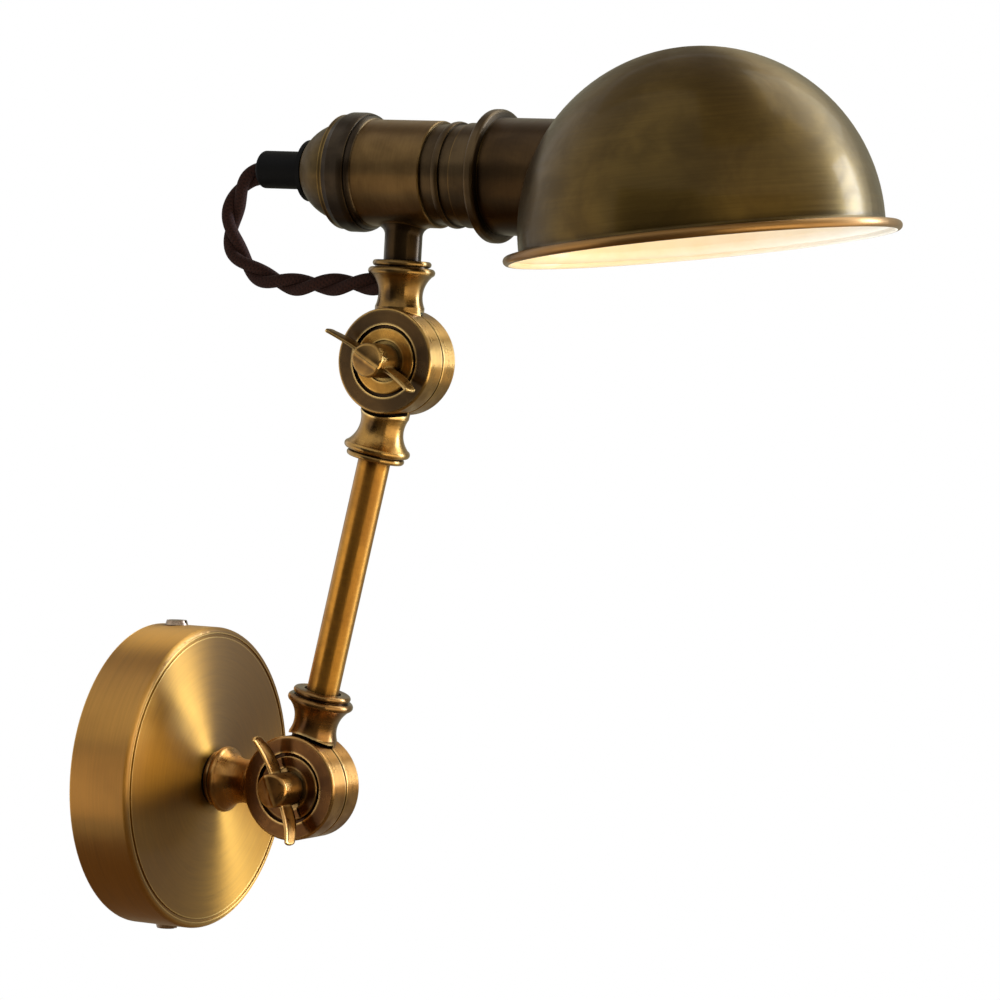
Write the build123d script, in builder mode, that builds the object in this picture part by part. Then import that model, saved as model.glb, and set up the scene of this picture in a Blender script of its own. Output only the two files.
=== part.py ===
from build123d import *
import os
from math import cos, pi, radians, sin, tan

# Adjustable wall light in aged brass: a round canopy, two clamped knuckles, a tube arm,
# a lampholder on a stem, and a domed shade on the lampholder's front.
# Millimetres. The origin is the centre of the canopy's back, on the wall.
# +X points out of the wall, +Z up, and both knuckles turn about Y.

# Pose as photographed, in degrees
ARM_LEAN = 12.2  # arm forward of upright
HEAD_PITCH = 1.4  # lampholder nose-down
SHADE_TURN = 2.3  # shade about the lampholder
LOWER_WING_ANGLE = -22.5  # wing blades, from upright
UPPER_WING_ANGLE = -59.0

# Fits
THREAD_CLEARANCE = 0.05
RUNNING_CLEARANCE = 0.1
ASSEMBLY_CLEARANCE = 0.3
FACE_GAP = 0.1  # between faces that turn on each other

# Canopy, a spun cup with a shallow cone for a face
CANOPY_DIAMETER = 120.0
CANOPY_DEPTH = 26.0
CANOPY_WALL = 1.2
FACE_RISE = 2.5
FACE_SEAT_RADIUS = 13.5
RIM_BEAD_WIDTH = 2.4
RIM_GROOVE_WIDTH = 1.4
RIM_GROOVE_DEPTH = 0.6

# Mounting bracket, a steel strap with two tapped ears
STRAP_THICKNESS = 2.0
STRAP_WIDTH = 22.0
EAR_WIDTH = 12.0
EAR_DEPTH = 15.0
WALL_SLOT_SPACING = 70.0
WALL_SLOT_LENGTH = 12.0
WALL_SLOT_WIDTH = 5.0
SUPPLY_HOLE_DIAMETER = 12.0

# Side screws that hold the canopy on the ears
SIDE_SCREW_POSITION = 8.0  # from the wall
SIDE_SCREW_DIAMETER = 4.0
SIDE_SCREW_LENGTH = 7.0
SIDE_HEAD_DIAMETER = 9.2
SIDE_HEAD_HEIGHT = 1.8
SCREW_SLOT_WIDTH = 1.2
SCREW_SLOT_DEPTH = 1.0

# Terminal block and earth screw on the bracket
BLOCK_WIDTH = 26.0
BLOCK_HEIGHT = 16.0
BLOCK_DEPTH = 14.0
BLOCK_DROP = 10.0
TERMINAL_SPACING = 9.0
TERMINAL_SCREW_DIAMETER = 4.0
TERMINAL_SCREW_LENGTH = 5.0
EARTH_SCREW_HEIGHT = 19.0
EARTH_SCREW_DIAMETER = 4.0
EARTH_HEAD_DIAMETER = 8.0
EARTH_HEAD_HEIGHT = 2.4
EARTH_SHANK_LENGTH = 1.8

# Hollow threaded nipple through the canopy, with its nut and washers
NIPPLE_REACH = 18.0  # inner end, from the wall
NECK_WASHER_RADIUS = 10.2
NECK_WASHER_THICKNESS = 1.0
NIPPLE_WASHER_RADIUS = 11.0
NIPPLE_WASHER_THICKNESS = 1.0
LOCKNUT_RADIUS = 10.0
LOCKNUT_THICKNESS = 5.0

# Knuckles: two discs face to face, each with a turned neck
KNUCKLE_RADIUS = 20.5
KNUCKLE_THICKNESS = 9.8  # one disc
KNUCKLE_ROUND = 1.0  # outer edge
SEAM_ROUND = 0.4  # edge at the mating face
FRICTION_WASHER_THICKNESS = 0.8
FRICTION_WASHER_RADIUS = 19.6
CAVITY_RADIUS = 15.5  # room for the flex round the pivot
CAVITY_DEPTH = 5.0
PIVOT_BOSS_RADIUS = 6.6
NECK_GAP = 1.2  # between a neck and the other disc
NECK_LENGTH = 39.0  # pivot to neck end
NECK_FLARE_RADIUS = 9.6
NECK_WAIST_RADIUS = 8.75
NECK_BEAD_RADIUS = 13.0
NECK_BEAD_EDGE_RADIUS = 12.0
NECK_BEAD_TOP_RADIUS = 11.2
NECK_BEAD_HEIGHT = 3.0
NECK_LIP_RADIUS = 11.4
NECK_LIP_HEIGHT = 2.3
NECK_NOTCH_WIDTH = 0.4
NECK_NOTCH_DEPTH = 0.3
NECK_MOUTH_DEPTH = 1.2
NECK_FLOOR = 2.5  # bore's end to the disc's edge
NECK_BORE_RADIUS = 4.8
NECK_SHOULDER = 6.0  # bore beyond the tube's seat
PASSAGE_RADIUS = 2.4
FACE_RECESS_RADIUS = 14.0
FACE_RECESS_DEPTH = 1.6

# Wing screws, their washers and captive nuts
SCREW_RADIUS = 3.0
WING_BOSS_RADIUS = 6.6
WING_BOSS_HEIGHT = 14.2  # from the disc's face
WING_ROOF_DROP = 1.6  # from the boss's ridge to its edge
WING_SPAN = 44.4
WING_ROOT_DROP = 4.4  # from the boss's ridge back to the blade's front edge
WING_MIDDLE_DROP = 3.0
WING_DEPTH = 8.4
WING_ROOT_DEPTH = 6.4
WING_TIP_DEPTH = 7.0
WING_TIP_BOW = 1.6
WING_THICKNESS = 2.0
DISHED_WASHER_RADIUS = 12.8
DISHED_WASHER_THICKNESS = 1.5
DISHED_WASHER_FLOOR = 0.6
DISH_RADIUS = 8.2
NUT_RADIUS = 5.7
NUT_THICKNESS = 4.0

# Arm
ARM_LENGTH = 171.6  # pivot to pivot
TUBE_RADIUS = 6.35
TUBE_BORE_RADIUS = 5.2

# Lampholder, measured along its axis from the stem's axis; each REACH is towards the tail
HOLDER_RISE = 72.6  # upper pivot to lampholder axis
STEM_RADIUS = 7.3
STEM_FILLET = 4.0
SLEEVE_RADIUS = 20.6
SLEEVE_BORE_RADIUS = 18.4
SLEEVE_TAIL_REACH = 22.0
SLEEVE_NOSE = 15.9
SKIRT_SPIGOT_LENGTH = 6.0
SKIRT_GROOVE_RADIUS = 19.3
SKIRT_RING_RADIUS = 20.5
SKIRT_RING_START = 21.2
SKIRT_RING_WIDTH = 2.8
SKIRT_LAND_START = 28.6
SKIRT_LAND_RADIUS = 20.1
SKIRT_THREAD_START = 36.5
SKIRT_THREAD_RADIUS = 19.6
SKIRT_NOSE = 50.0
SHADE_RING_START = 37.7
SHADE_RING_WIDTH = 4.1
SHADE_RING_RADIUS = 25.5
SHADE_RING_ROUND = 1.2
CLAMP_RING_WIDTH = 4.5
CLAMP_RING_RADIUS = 20.8
TAIL_RING_BACK_REACH = 25.8
TAIL_RING_FRONT_REACH = 13.8
TAIL_RING_RADIUS = 23.15
TAIL_RING_ROUND = 2.4
CAP_RIM_RADIUS = 22.2
CAP_RIM_WIDTH = 1.7
CAP_DOME_RADIUS = 19.4
CAP_MIDDLE_REACH = 35.8
CAP_MIDDLE_RADIUS = 16.6
CAP_BACK_REACH = 41.7
CAP_BACK_RADIUS = 11.4
CAP_WALL = 1.8
GRIP_DISC_RADIUS = 12.0
GRIP_DISC_THICKNESS = 1.8
GRIP_RADIUS = 7.4
GRIP_BACK_REACH = 64.8
GRIP_ROUND = 1.5
GRIP_THREAD_RADIUS = 6.2
GRIP_BORE_RADIUS = 4.6
INSERT_TAIL_REACH = 10.0
INSERT_NOSE = 46.0
INSERT_FLOOR = 18.0
INSERT_BORE_RADIUS = 14.1
SHELL_WALL = 0.6
SHELL_LENGTH = 24.0
CONTACT_RADIUS = 4.0
CONTACT_THICKNESS = 1.5

# Lamp with a screw cap
LAMP_CAP_RADIUS = 13.1
LAMP_CAP_LENGTH = 27.0
LAMP_CAP_WALL = 0.6
LAMP_TIP_RADIUS = 4.5
LAMP_GLOBE_RADIUS = 18.5
LAMP_LENGTH = 80.0
LAMP_GLASS_WALL = 1.0
LAMP_NECK_RADIUS = 12.4

# Shade: a spun dome with a curled rim, and a neck let into its side
SHADE_REACH = 126.2  # stem axis to the rim's centre, along the lampholder
SHADE_DROP = 24.3  # lampholder axis down to the rim's centre
NECK_SLOPE = 8.3  # lampholder axis against the rim's plane, degrees
DOME_RADIUS = 68.0
DOME_SKIRT = 6.5  # rim plane up to the dome's centre
SHADE_WALL = 1.2
CURL_RADIUS = 1.75
CURL_OVERHANG = 4.3  # curl's middle beyond the dome
CURL_COVE_RADIUS = 1.6
SHADE_NECK_RADIUS = 22.3
SHADE_FLANGE_WIDTH = 1.2

# Flex: two twisted cores that fill a round envelope, and the points of its free loop.
# Each point is (along the lampholder, along the stem) from the lampholder's centre or the neck's end.
CORD_DIAMETER = 8.8
CORD_ARC_SHARE = 0.45  # of the shorter run at each corner
CORD_ENTRY_DROP = 9.2  # neck's end down to the flex's hole
GRIP_ROUTE = [(-52.5, 0.0), (-68.5, 0.0), (-78.2, -8.2), (-79.6, -22.3)]
NECK_ROUTE = [(-75.2, -1.0), (-62.5, -9.6), (-45.4, -11.6), (-25.5, -10.0), (-5.5, -CORD_ENTRY_DROP)]
CORD_HOLE_RADIUS = 4.7
LEAD_BEND = 5.0

# Places and directions
HINGE = Vector(0, 1, 0)
WALL_OUT = Vector(1, 0, 0)
UP = Vector(0, 0, 1)


def leaning(angle):
    """The unit direction that leans forward of upright by an angle in degrees."""
    return Vector(sin(radians(angle)), 0, cos(radians(angle)))


sleeve_tail = -SLEEVE_TAIL_REACH
tail_ring_back = -TAIL_RING_BACK_REACH
tail_ring_front = -TAIL_RING_FRONT_REACH
cap_middle = -CAP_MIDDLE_REACH
cap_back = -CAP_BACK_REACH
grip_back = -GRIP_BACK_REACH
insert_tail = -INSERT_TAIL_REACH
block_top = -BLOCK_DROP
canopy_radius = CANOPY_DIAMETER / 2
canopy_front = CANOPY_DEPTH + FACE_RISE
seam = FRICTION_WASHER_THICKNESS / 2
knuckle_face = seam + KNUCKLE_THICKNESS
neck_seat_radius = TUBE_RADIUS + THREAD_CLEARANCE
neck_bore_depth = NECK_LENGTH - KNUCKLE_RADIUS - NECK_FLOOR
neck_seat_depth = neck_bore_depth - NECK_SHOULDER
core_radius = CORD_DIAMETER / 4
arm_direction = leaning(ARM_LEAN)
stem_direction = leaning(HEAD_PITCH)
holder_direction = leaning(HEAD_PITCH + 90)
lower_pivot = WALL_OUT * (canopy_front + NECK_WASHER_THICKNESS + NECK_LENGTH)
upper_pivot = lower_pivot + arm_direction * ARM_LENGTH
holder_centre = upper_pivot + stem_direction * HOLDER_RISE
neck_mouth = upper_pivot + stem_direction * NECK_LENGTH
holder_axis = Axis(holder_centre, holder_direction)
holder_profile = Plane(origin=holder_centre, x_dir=holder_direction, z_dir=-HINGE)
turn_axis = Axis((0, 0, 0), holder_direction)
shade_up = leaning(HEAD_PITCH - NECK_SLOPE).rotate(turn_axis, SHADE_TURN)
shade_down = (-stem_direction).rotate(turn_axis, SHADE_TURN)
rim_centre = holder_centre + holder_direction * SHADE_REACH + shade_down * SHADE_DROP
dome_centre = rim_centre + shade_up * DOME_SKIRT
shade_side = shade_up.cross(holder_direction).normalized()
shade_forward = shade_side.cross(shade_up).normalized()
shade_profile = Plane(origin=rim_centre, x_dir=shade_forward, z_dir=-shade_side)
shade_axis = Axis(rim_centre, shade_up)


def holder_station(distance, facing=1):
    """A plane across the lampholder axis, at a distance from the stem's axis."""
    place = holder_centre + holder_direction * distance
    return Plane(origin=place, x_dir=HINGE, z_dir=holder_direction * facing)


def finish(piece, label):
    """Label a finished piece and write it."""
    piece.part.label = label
    export_step(piece.part, f"parts/{label}.step")


os.makedirs("parts", exist_ok=True)

# Canopy
bead_round = RIM_BEAD_WIDTH * 0.75
groove_outer = canopy_radius - RIM_BEAD_WIDTH
groove_inner = groove_outer - RIM_GROOVE_WIDTH
groove_floor = CANOPY_DEPTH - RIM_GROOVE_DEPTH
inner_face = CANOPY_DEPTH - RIM_GROOVE_DEPTH - CANOPY_WALL
nipple_hole = neck_seat_radius + THREAD_CLEARANCE
with BuildPart() as canopy:
    with BuildSketch(Plane.XZ):
        with BuildLine():
            side = Line((0, canopy_radius), (CANOPY_DEPTH - bead_round, canopy_radius))
            bead = TangentArc(side @ 1, (CANOPY_DEPTH, canopy_radius - bead_round), tangent=side % 1)
            Polyline(
                bead @ 1,
                (CANOPY_DEPTH, groove_outer),
                (groove_floor, groove_outer),
                (groove_floor, groove_inner),
                (CANOPY_DEPTH, groove_inner),
                (canopy_front, FACE_SEAT_RADIUS),
                (canopy_front, nipple_hole),
                (canopy_front - CANOPY_WALL, nipple_hole),
                (canopy_front - CANOPY_WALL, FACE_SEAT_RADIUS),
                (inner_face, groove_inner),
                (inner_face, canopy_radius - CANOPY_WALL),
                (0, canopy_radius - CANOPY_WALL),
                side @ 0,
            )
        make_face()
    revolve(axis=Axis.X)
    with BuildSketch(Plane.XY):
        with Locations((SIDE_SCREW_POSITION, 0)):
            Circle(SIDE_SCREW_DIAMETER / 2 + ASSEMBLY_CLEARANCE)
    extrude(amount=CANOPY_DIAMETER, both=True, mode=Mode.SUBTRACT)
finish(canopy, "canopy")

# Mounting bracket
ear_room = (canopy_radius - CANOPY_WALL) ** 2 - (EAR_WIDTH / 2) ** 2
ear_outer = ear_room**0.5 - ASSEMBLY_CLEARANCE
with BuildPart() as mounting_bracket:
    with BuildSketch(Plane.YZ):
        Rectangle(STRAP_WIDTH, 2 * (ear_outer - STRAP_THICKNESS - STRAP_WIDTH / 4))
        Rectangle(EAR_WIDTH, 2 * ear_outer)
        with Locations((0, -WALL_SLOT_SPACING / 2), (0, WALL_SLOT_SPACING / 2)):
            SlotOverall(WALL_SLOT_LENGTH, WALL_SLOT_WIDTH, rotation=90, mode=Mode.SUBTRACT)
        Circle(SUPPLY_HOLE_DIAMETER / 2, mode=Mode.SUBTRACT)
        with Locations((0, EARTH_SCREW_HEIGHT)):
            Circle(EARTH_SCREW_DIAMETER / 2 + THREAD_CLEARANCE, mode=Mode.SUBTRACT)
    extrude(amount=STRAP_THICKNESS)
    with BuildSketch(Plane.YZ):
        with Locations((0, ear_outer - STRAP_THICKNESS / 2), (0, STRAP_THICKNESS / 2 - ear_outer)):
            Rectangle(EAR_WIDTH, STRAP_THICKNESS)
    extrude(amount=EAR_DEPTH)
    with BuildSketch(Plane.XY):
        with Locations((SIDE_SCREW_POSITION, 0)):
            Circle(SIDE_SCREW_DIAMETER / 2 + THREAD_CLEARANCE)
    extrude(amount=CANOPY_DIAMETER, both=True, mode=Mode.SUBTRACT)
finish(mounting_bracket, "mounting_bracket")

# Canopy side screws, one at the top and one at the bottom
with BuildPart() as canopy_screws:
    for direction in (UP, -UP):
        seat = Plane(
            origin=WALL_OUT * SIDE_SCREW_POSITION + direction * canopy_radius,
            x_dir=WALL_OUT,
            z_dir=direction,
        )
        with BuildSketch(seat):
            Circle(SIDE_HEAD_DIAMETER / 2)
        extrude(amount=SIDE_HEAD_HEIGHT, taper=18)
        with BuildSketch(seat):
            Circle(SIDE_SCREW_DIAMETER / 2)
        extrude(amount=-SIDE_SCREW_LENGTH)
        with BuildSketch(seat.offset(SIDE_HEAD_HEIGHT)):
            Rectangle(SIDE_HEAD_DIAMETER, SCREW_SLOT_WIDTH)
        extrude(amount=-SCREW_SLOT_DEPTH, mode=Mode.SUBTRACT)
finish(canopy_screws, "canopy_screws")

# Earth screw
with BuildPart() as earth_screw:
    with BuildSketch(Plane.YZ.offset(STRAP_THICKNESS)):
        with Locations((0, EARTH_SCREW_HEIGHT)):
            Circle(EARTH_HEAD_DIAMETER / 2)
    extrude(amount=EARTH_HEAD_HEIGHT, taper=12)
    with BuildSketch(Plane.YZ.offset(STRAP_THICKNESS)):
        with Locations((0, EARTH_SCREW_HEIGHT)):
            Circle(EARTH_SCREW_DIAMETER / 2)
    extrude(amount=-EARTH_SHANK_LENGTH)
    with BuildSketch(Plane.YZ.offset(STRAP_THICKNESS + EARTH_HEAD_HEIGHT)):
        with Locations((0, EARTH_SCREW_HEIGHT)):
            Rectangle(EARTH_HEAD_DIAMETER, SCREW_SLOT_WIDTH)
    extrude(amount=-SCREW_SLOT_DEPTH, mode=Mode.SUBTRACT)
finish(earth_screw, "earth_screw")

# Terminal block, with a pair of clamping screws in its front
block_middle = block_top - BLOCK_HEIGHT / 2
block_front = STRAP_THICKNESS + BLOCK_DEPTH
terminal_places = [(-TERMINAL_SPACING / 2, block_middle), (TERMINAL_SPACING / 2, block_middle)]
with BuildPart() as terminal_block:
    with BuildSketch(Plane.YZ.offset(STRAP_THICKNESS)):
        with Locations((0, block_middle)):
            Rectangle(BLOCK_WIDTH, BLOCK_HEIGHT)
    extrude(amount=BLOCK_DEPTH)
    chamfer(terminal_block.faces().sort_by(Axis.X)[-1].edges(), STRAP_THICKNESS / 2)
    with BuildSketch(Plane.YZ.offset(block_front)):
        with Locations(*terminal_places):
            Circle(TERMINAL_SCREW_DIAMETER / 2 + THREAD_CLEARANCE)
    extrude(amount=-TERMINAL_SCREW_LENGTH - SCREW_SLOT_DEPTH, mode=Mode.SUBTRACT)
finish(terminal_block, "terminal_block")

with BuildPart() as terminal_screws:
    with BuildSketch(Plane.YZ.offset(block_front - SCREW_SLOT_DEPTH)):
        with Locations(*terminal_places):
            Circle(TERMINAL_SCREW_DIAMETER / 2)
    extrude(amount=-TERMINAL_SCREW_LENGTH)
    with BuildSketch(Plane.YZ.offset(block_front - SCREW_SLOT_DEPTH)):
        with Locations(*terminal_places):
            Rectangle(SCREW_SLOT_WIDTH, TERMINAL_SCREW_DIAMETER)
    extrude(amount=-SCREW_SLOT_DEPTH, mode=Mode.SUBTRACT)
finish(terminal_screws, "terminal_screws")

# Threaded nipple, its washers and locknut
nipple_back = canopy_front + NECK_WASHER_THICKNESS + neck_seat_depth
washer_back = canopy_front - CANOPY_WALL
with BuildPart() as threaded_nipple:
    with BuildSketch(Plane.YZ.offset(NIPPLE_REACH)):
        Circle(TUBE_RADIUS)
        Circle(NECK_BORE_RADIUS, mode=Mode.SUBTRACT)
    extrude(amount=nipple_back - NIPPLE_REACH)
finish(threaded_nipple, "threaded_nipple")

with BuildPart() as neck_washer:
    with BuildSketch(Plane.YZ.offset(canopy_front)):
        Circle(NECK_WASHER_RADIUS)
        Circle(neck_seat_radius, mode=Mode.SUBTRACT)
    extrude(amount=NECK_WASHER_THICKNESS)
finish(neck_washer, "neck_washer")

with BuildPart() as nipple_washer:
    with BuildSketch(Plane.YZ.offset(washer_back)):
        Circle(NIPPLE_WASHER_RADIUS)
        Circle(neck_seat_radius, mode=Mode.SUBTRACT)
    extrude(amount=-NIPPLE_WASHER_THICKNESS)
finish(nipple_washer, "nipple_washer")

with BuildPart() as nipple_locknut:
    with BuildSketch(Plane.YZ.offset(washer_back - NIPPLE_WASHER_THICKNESS)):
        RegularPolygon(LOCKNUT_RADIUS, 6)
        Circle(neck_seat_radius, mode=Mode.SUBTRACT)
    extrude(amount=-LOCKNUT_THICKNESS)
finish(nipple_locknut, "nipple_locknut")


def knuckle_half(pivot, neck_direction, side):
    """One disc of a knuckle with its turned neck.

    side is -1 for the disc with the wing screw's recess and 1 for the one with the nut's pocket.
    """
    outward = HINGE * side
    mating = Plane(origin=pivot + outward * seam, x_dir=neck_direction, z_dir=outward)
    neck_profile = Plane(origin=pivot, x_dir=neck_direction, z_dir=-HINGE)
    neck_end = Plane(origin=pivot + neck_direction * NECK_LENGTH, x_dir=HINGE, z_dir=-neck_direction)
    lip_start = NECK_LENGTH - NECK_LIP_HEIGHT
    bead_end = lip_start - NECK_NOTCH_WIDTH
    bead_start = bead_end - NECK_BEAD_HEIGHT
    flare_start = KNUCKLE_RADIUS + NECK_GAP / 2
    waist = (flare_start + bead_start) / 2
    lip_round = NECK_LIP_HEIGHT / 3
    with BuildPart() as half:
        with BuildSketch(mating):
            Circle(KNUCKLE_RADIUS)
        extrude(amount=KNUCKLE_THICKNESS)
        rims = half.edges().filter_by(GeomType.CIRCLE).sort_by(Axis(pivot, outward))
        fillet(rims[0], SEAM_ROUND)
        fillet(half.edges().filter_by(GeomType.CIRCLE).sort_by(Axis(pivot, outward))[-1], KNUCKLE_ROUND)
        with BuildSketch(neck_profile):
            with BuildLine():
                Polyline(
                    (flare_start, NECK_FLARE_RADIUS),
                    (CAVITY_RADIUS, NECK_FLARE_RADIUS),
                    (CAVITY_RADIUS, 0),
                    (NECK_LENGTH, 0),
                    (NECK_LENGTH, NECK_LIP_RADIUS - lip_round),
                )
                ThreePointArc(
                    (NECK_LENGTH, NECK_LIP_RADIUS - lip_round),
                    (NECK_LENGTH - NECK_LIP_HEIGHT / 2, NECK_LIP_RADIUS),
                    (lip_start, NECK_LIP_RADIUS - lip_round),
                )
                Polyline(
                    (lip_start, NECK_LIP_RADIUS - lip_round),
                    (lip_start, NECK_LIP_RADIUS - lip_round - NECK_NOTCH_DEPTH),
                    (bead_end, NECK_LIP_RADIUS - lip_round - NECK_NOTCH_DEPTH),
                    (bead_end, NECK_BEAD_TOP_RADIUS),
                )
                ThreePointArc(
                    (bead_end, NECK_BEAD_TOP_RADIUS),
                    ((bead_start + bead_end) / 2, NECK_BEAD_RADIUS),
                    (bead_start, NECK_BEAD_EDGE_RADIUS),
                )
                ThreePointArc(
                    (bead_start, NECK_BEAD_EDGE_RADIUS),
                    (waist, NECK_WAIST_RADIUS),
                    (flare_start, NECK_FLARE_RADIUS),
                )
            make_face()
        revolve(axis=Axis(pivot, neck_direction))
        with BuildSketch(mating):
            Circle(KNUCKLE_RADIUS + NECK_GAP)
        extrude(amount=-knuckle_face - seam, mode=Mode.SUBTRACT)
        with BuildSketch(mating):
            Circle(CAVITY_RADIUS)
            Circle(PIVOT_BOSS_RADIUS, mode=Mode.SUBTRACT)
        extrude(amount=CAVITY_DEPTH, mode=Mode.SUBTRACT)
        with BuildSketch(mating):
            Circle(SCREW_RADIUS + RUNNING_CLEARANCE)
        extrude(amount=KNUCKLE_THICKNESS, mode=Mode.SUBTRACT)
        with BuildSketch(mating.offset(KNUCKLE_THICKNESS)):
            if side < 0:
                Circle(FACE_RECESS_RADIUS)
            else:
                RegularPolygon(NUT_RADIUS + ASSEMBLY_CLEARANCE, 6)
        extrude(amount=-FACE_RECESS_DEPTH if side < 0 else -NUT_THICKNESS, mode=Mode.SUBTRACT)
        with BuildSketch(neck_end):
            Circle(STEM_RADIUS + RUNNING_CLEARANCE)
        extrude(amount=NECK_MOUTH_DEPTH, mode=Mode.SUBTRACT)
        with BuildSketch(neck_end):
            Circle(neck_seat_radius)
        extrude(amount=neck_seat_depth, mode=Mode.SUBTRACT)
        with BuildSketch(neck_end):
            Circle(NECK_BORE_RADIUS)
        extrude(amount=neck_bore_depth, mode=Mode.SUBTRACT)
        with BuildSketch(neck_end.offset(neck_bore_depth - PASSAGE_RADIUS)):
            with Locations((side * (seam + CAVITY_DEPTH / 2 + PASSAGE_RADIUS / 2), 0)):
                Circle(PASSAGE_RADIUS)
        extrude(amount=NECK_LENGTH - neck_bore_depth - CAVITY_RADIUS + 2 * PASSAGE_RADIUS, mode=Mode.SUBTRACT)
    return half


# Lower knuckle: the wall's half is nearer the viewer, the arm's half behind it
wall_knuckle = knuckle_half(lower_pivot, -WALL_OUT, -1)
finish(wall_knuckle, "wall_knuckle")
arm_lower_knuckle = knuckle_half(lower_pivot, arm_direction, 1)
finish(arm_lower_knuckle, "arm_lower_knuckle")

# Upper knuckle: the head's half is nearer the viewer
arm_upper_knuckle = knuckle_half(upper_pivot, -arm_direction, 1)
finish(arm_upper_knuckle, "arm_upper_knuckle")

cord_entry = neck_mouth - stem_direction * CORD_ENTRY_DROP
cord_hole = Plane(origin=cord_entry, x_dir=HINGE, z_dir=-holder_direction)
with BuildPart() as head_knuckle:
    add(knuckle_half(upper_pivot, stem_direction, -1).part)
    with BuildSketch(cord_hole):
        Circle(CORD_HOLE_RADIUS)
    extrude(amount=NECK_BEAD_RADIUS, mode=Mode.SUBTRACT)
finish(head_knuckle, "head_knuckle")


def friction_washer(pivot):
    """The fibre ring between a knuckle's two discs."""
    with BuildPart() as ring:
        with BuildSketch(Plane(origin=pivot - HINGE * seam, x_dir=WALL_OUT, z_dir=HINGE)):
            Circle(FRICTION_WASHER_RADIUS)
            Circle(CAVITY_RADIUS, mode=Mode.SUBTRACT)
        extrude(amount=FRICTION_WASHER_THICKNESS)
    return ring


def dished_washer(pivot):
    """The washer in the near disc's recess, under the wing screw's boss."""
    floor = Plane(
        origin=pivot - HINGE * (knuckle_face - FACE_RECESS_DEPTH),
        x_dir=WALL_OUT,
        z_dir=-HINGE,
    )
    with BuildPart() as washer:
        with BuildSketch(floor):
            Circle(DISHED_WASHER_RADIUS)
        extrude(amount=DISHED_WASHER_THICKNESS)
        fillet(washer.faces().sort_by(Axis.Y)[0].edges(), DISHED_WASHER_THICKNESS / 2)
        with BuildSketch(floor.offset(DISHED_WASHER_FLOOR)):
            Circle(DISH_RADIUS)
        extrude(amount=DISHED_WASHER_THICKNESS, mode=Mode.SUBTRACT)
        with BuildSketch(floor):
            Circle(SCREW_RADIUS + RUNNING_CLEARANCE)
        extrude(amount=DISHED_WASHER_THICKNESS, mode=Mode.SUBTRACT)
    return washer


def captive_nut(pivot, neck_direction):
    """The hexagon nut in the far disc's pocket."""
    pocket = Plane(origin=pivot + HINGE * knuckle_face, x_dir=neck_direction, z_dir=-HINGE)
    with BuildPart() as nut:
        with BuildSketch(pocket):
            RegularPolygon(NUT_RADIUS, 6)
            Circle(SCREW_RADIUS + THREAD_CLEARANCE, mode=Mode.SUBTRACT)
        extrude(amount=NUT_THICKNESS)
    return nut


def wing_screw(pivot, angle):
    """A thumb screw with a round boss and two leaf-shaped blades."""
    base = knuckle_face - FACE_RECESS_DEPTH + DISHED_WASHER_FLOOR + FACE_GAP
    front = knuckle_face + WING_BOSS_HEIGHT
    boss_base = Plane(origin=pivot - HINGE * base, x_dir=WALL_OUT, z_dir=-HINGE)
    blade_direction = leaning(angle)
    beside = blade_direction.cross(-HINGE)
    roof_plane = Plane(origin=pivot, x_dir=beside, z_dir=-blade_direction)
    blade_plane = Plane(origin=pivot, x_dir=blade_direction, z_dir=beside)
    eaves = front - WING_ROOF_DROP
    tip = WING_SPAN / 2
    tip_edge = tip - WING_TIP_BOW
    middle = (WING_BOSS_RADIUS + tip) / 2
    root = WING_BOSS_RADIUS / 2
    root_front = (root, front - WING_ROOT_DROP)
    tip_front = (tip_edge, front)
    tip_back = (tip_edge, front - WING_TIP_DEPTH)
    root_back = (root, front - WING_ROOT_DROP - WING_ROOT_DEPTH)
    with BuildPart() as screw:
        with BuildSketch(boss_base):
            Circle(WING_BOSS_RADIUS)
        extrude(amount=front - base)
        with BuildSketch(roof_plane):
            Polygon(
                (-WING_BOSS_RADIUS, base),
                (WING_BOSS_RADIUS, base),
                (WING_BOSS_RADIUS, eaves),
                (0, front),
                (-WING_BOSS_RADIUS, eaves),
                align=None,
            )
        extrude(amount=WING_BOSS_RADIUS, both=True, mode=Mode.INTERSECT)
        with BuildSketch(boss_base):
            Circle(SCREW_RADIUS)
        extrude(amount=-base - knuckle_face)
        with BuildSketch(blade_plane):
            with BuildLine():
                ThreePointArc(root_front, (middle, front - WING_MIDDLE_DROP), tip_front)
                ThreePointArc(tip_front, (tip, front - WING_TIP_DEPTH / 2), tip_back)
                ThreePointArc(tip_back, (middle, front - WING_MIDDLE_DROP - WING_DEPTH), root_back)
                Line(root_back, root_front)
            make_face()
            mirror(about=Plane.YZ)
        extrude(amount=WING_THICKNESS / 2, both=True)
    return screw


lower_friction_washer = friction_washer(lower_pivot)
finish(lower_friction_washer, "lower_friction_washer")
upper_friction_washer = friction_washer(upper_pivot)
finish(upper_friction_washer, "upper_friction_washer")
lower_dished_washer = dished_washer(lower_pivot)
finish(lower_dished_washer, "lower_dished_washer")
upper_dished_washer = dished_washer(upper_pivot)
finish(upper_dished_washer, "upper_dished_washer")
lower_captive_nut = captive_nut(lower_pivot, arm_direction)
finish(lower_captive_nut, "lower_captive_nut")
upper_captive_nut = captive_nut(upper_pivot, -arm_direction)
finish(upper_captive_nut, "upper_captive_nut")
lower_wing_screw = wing_screw(lower_pivot, LOWER_WING_ANGLE)
finish(lower_wing_screw, "lower_wing_screw")
upper_wing_screw = wing_screw(upper_pivot, UPPER_WING_ANGLE)
finish(upper_wing_screw, "upper_wing_screw")

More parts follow.
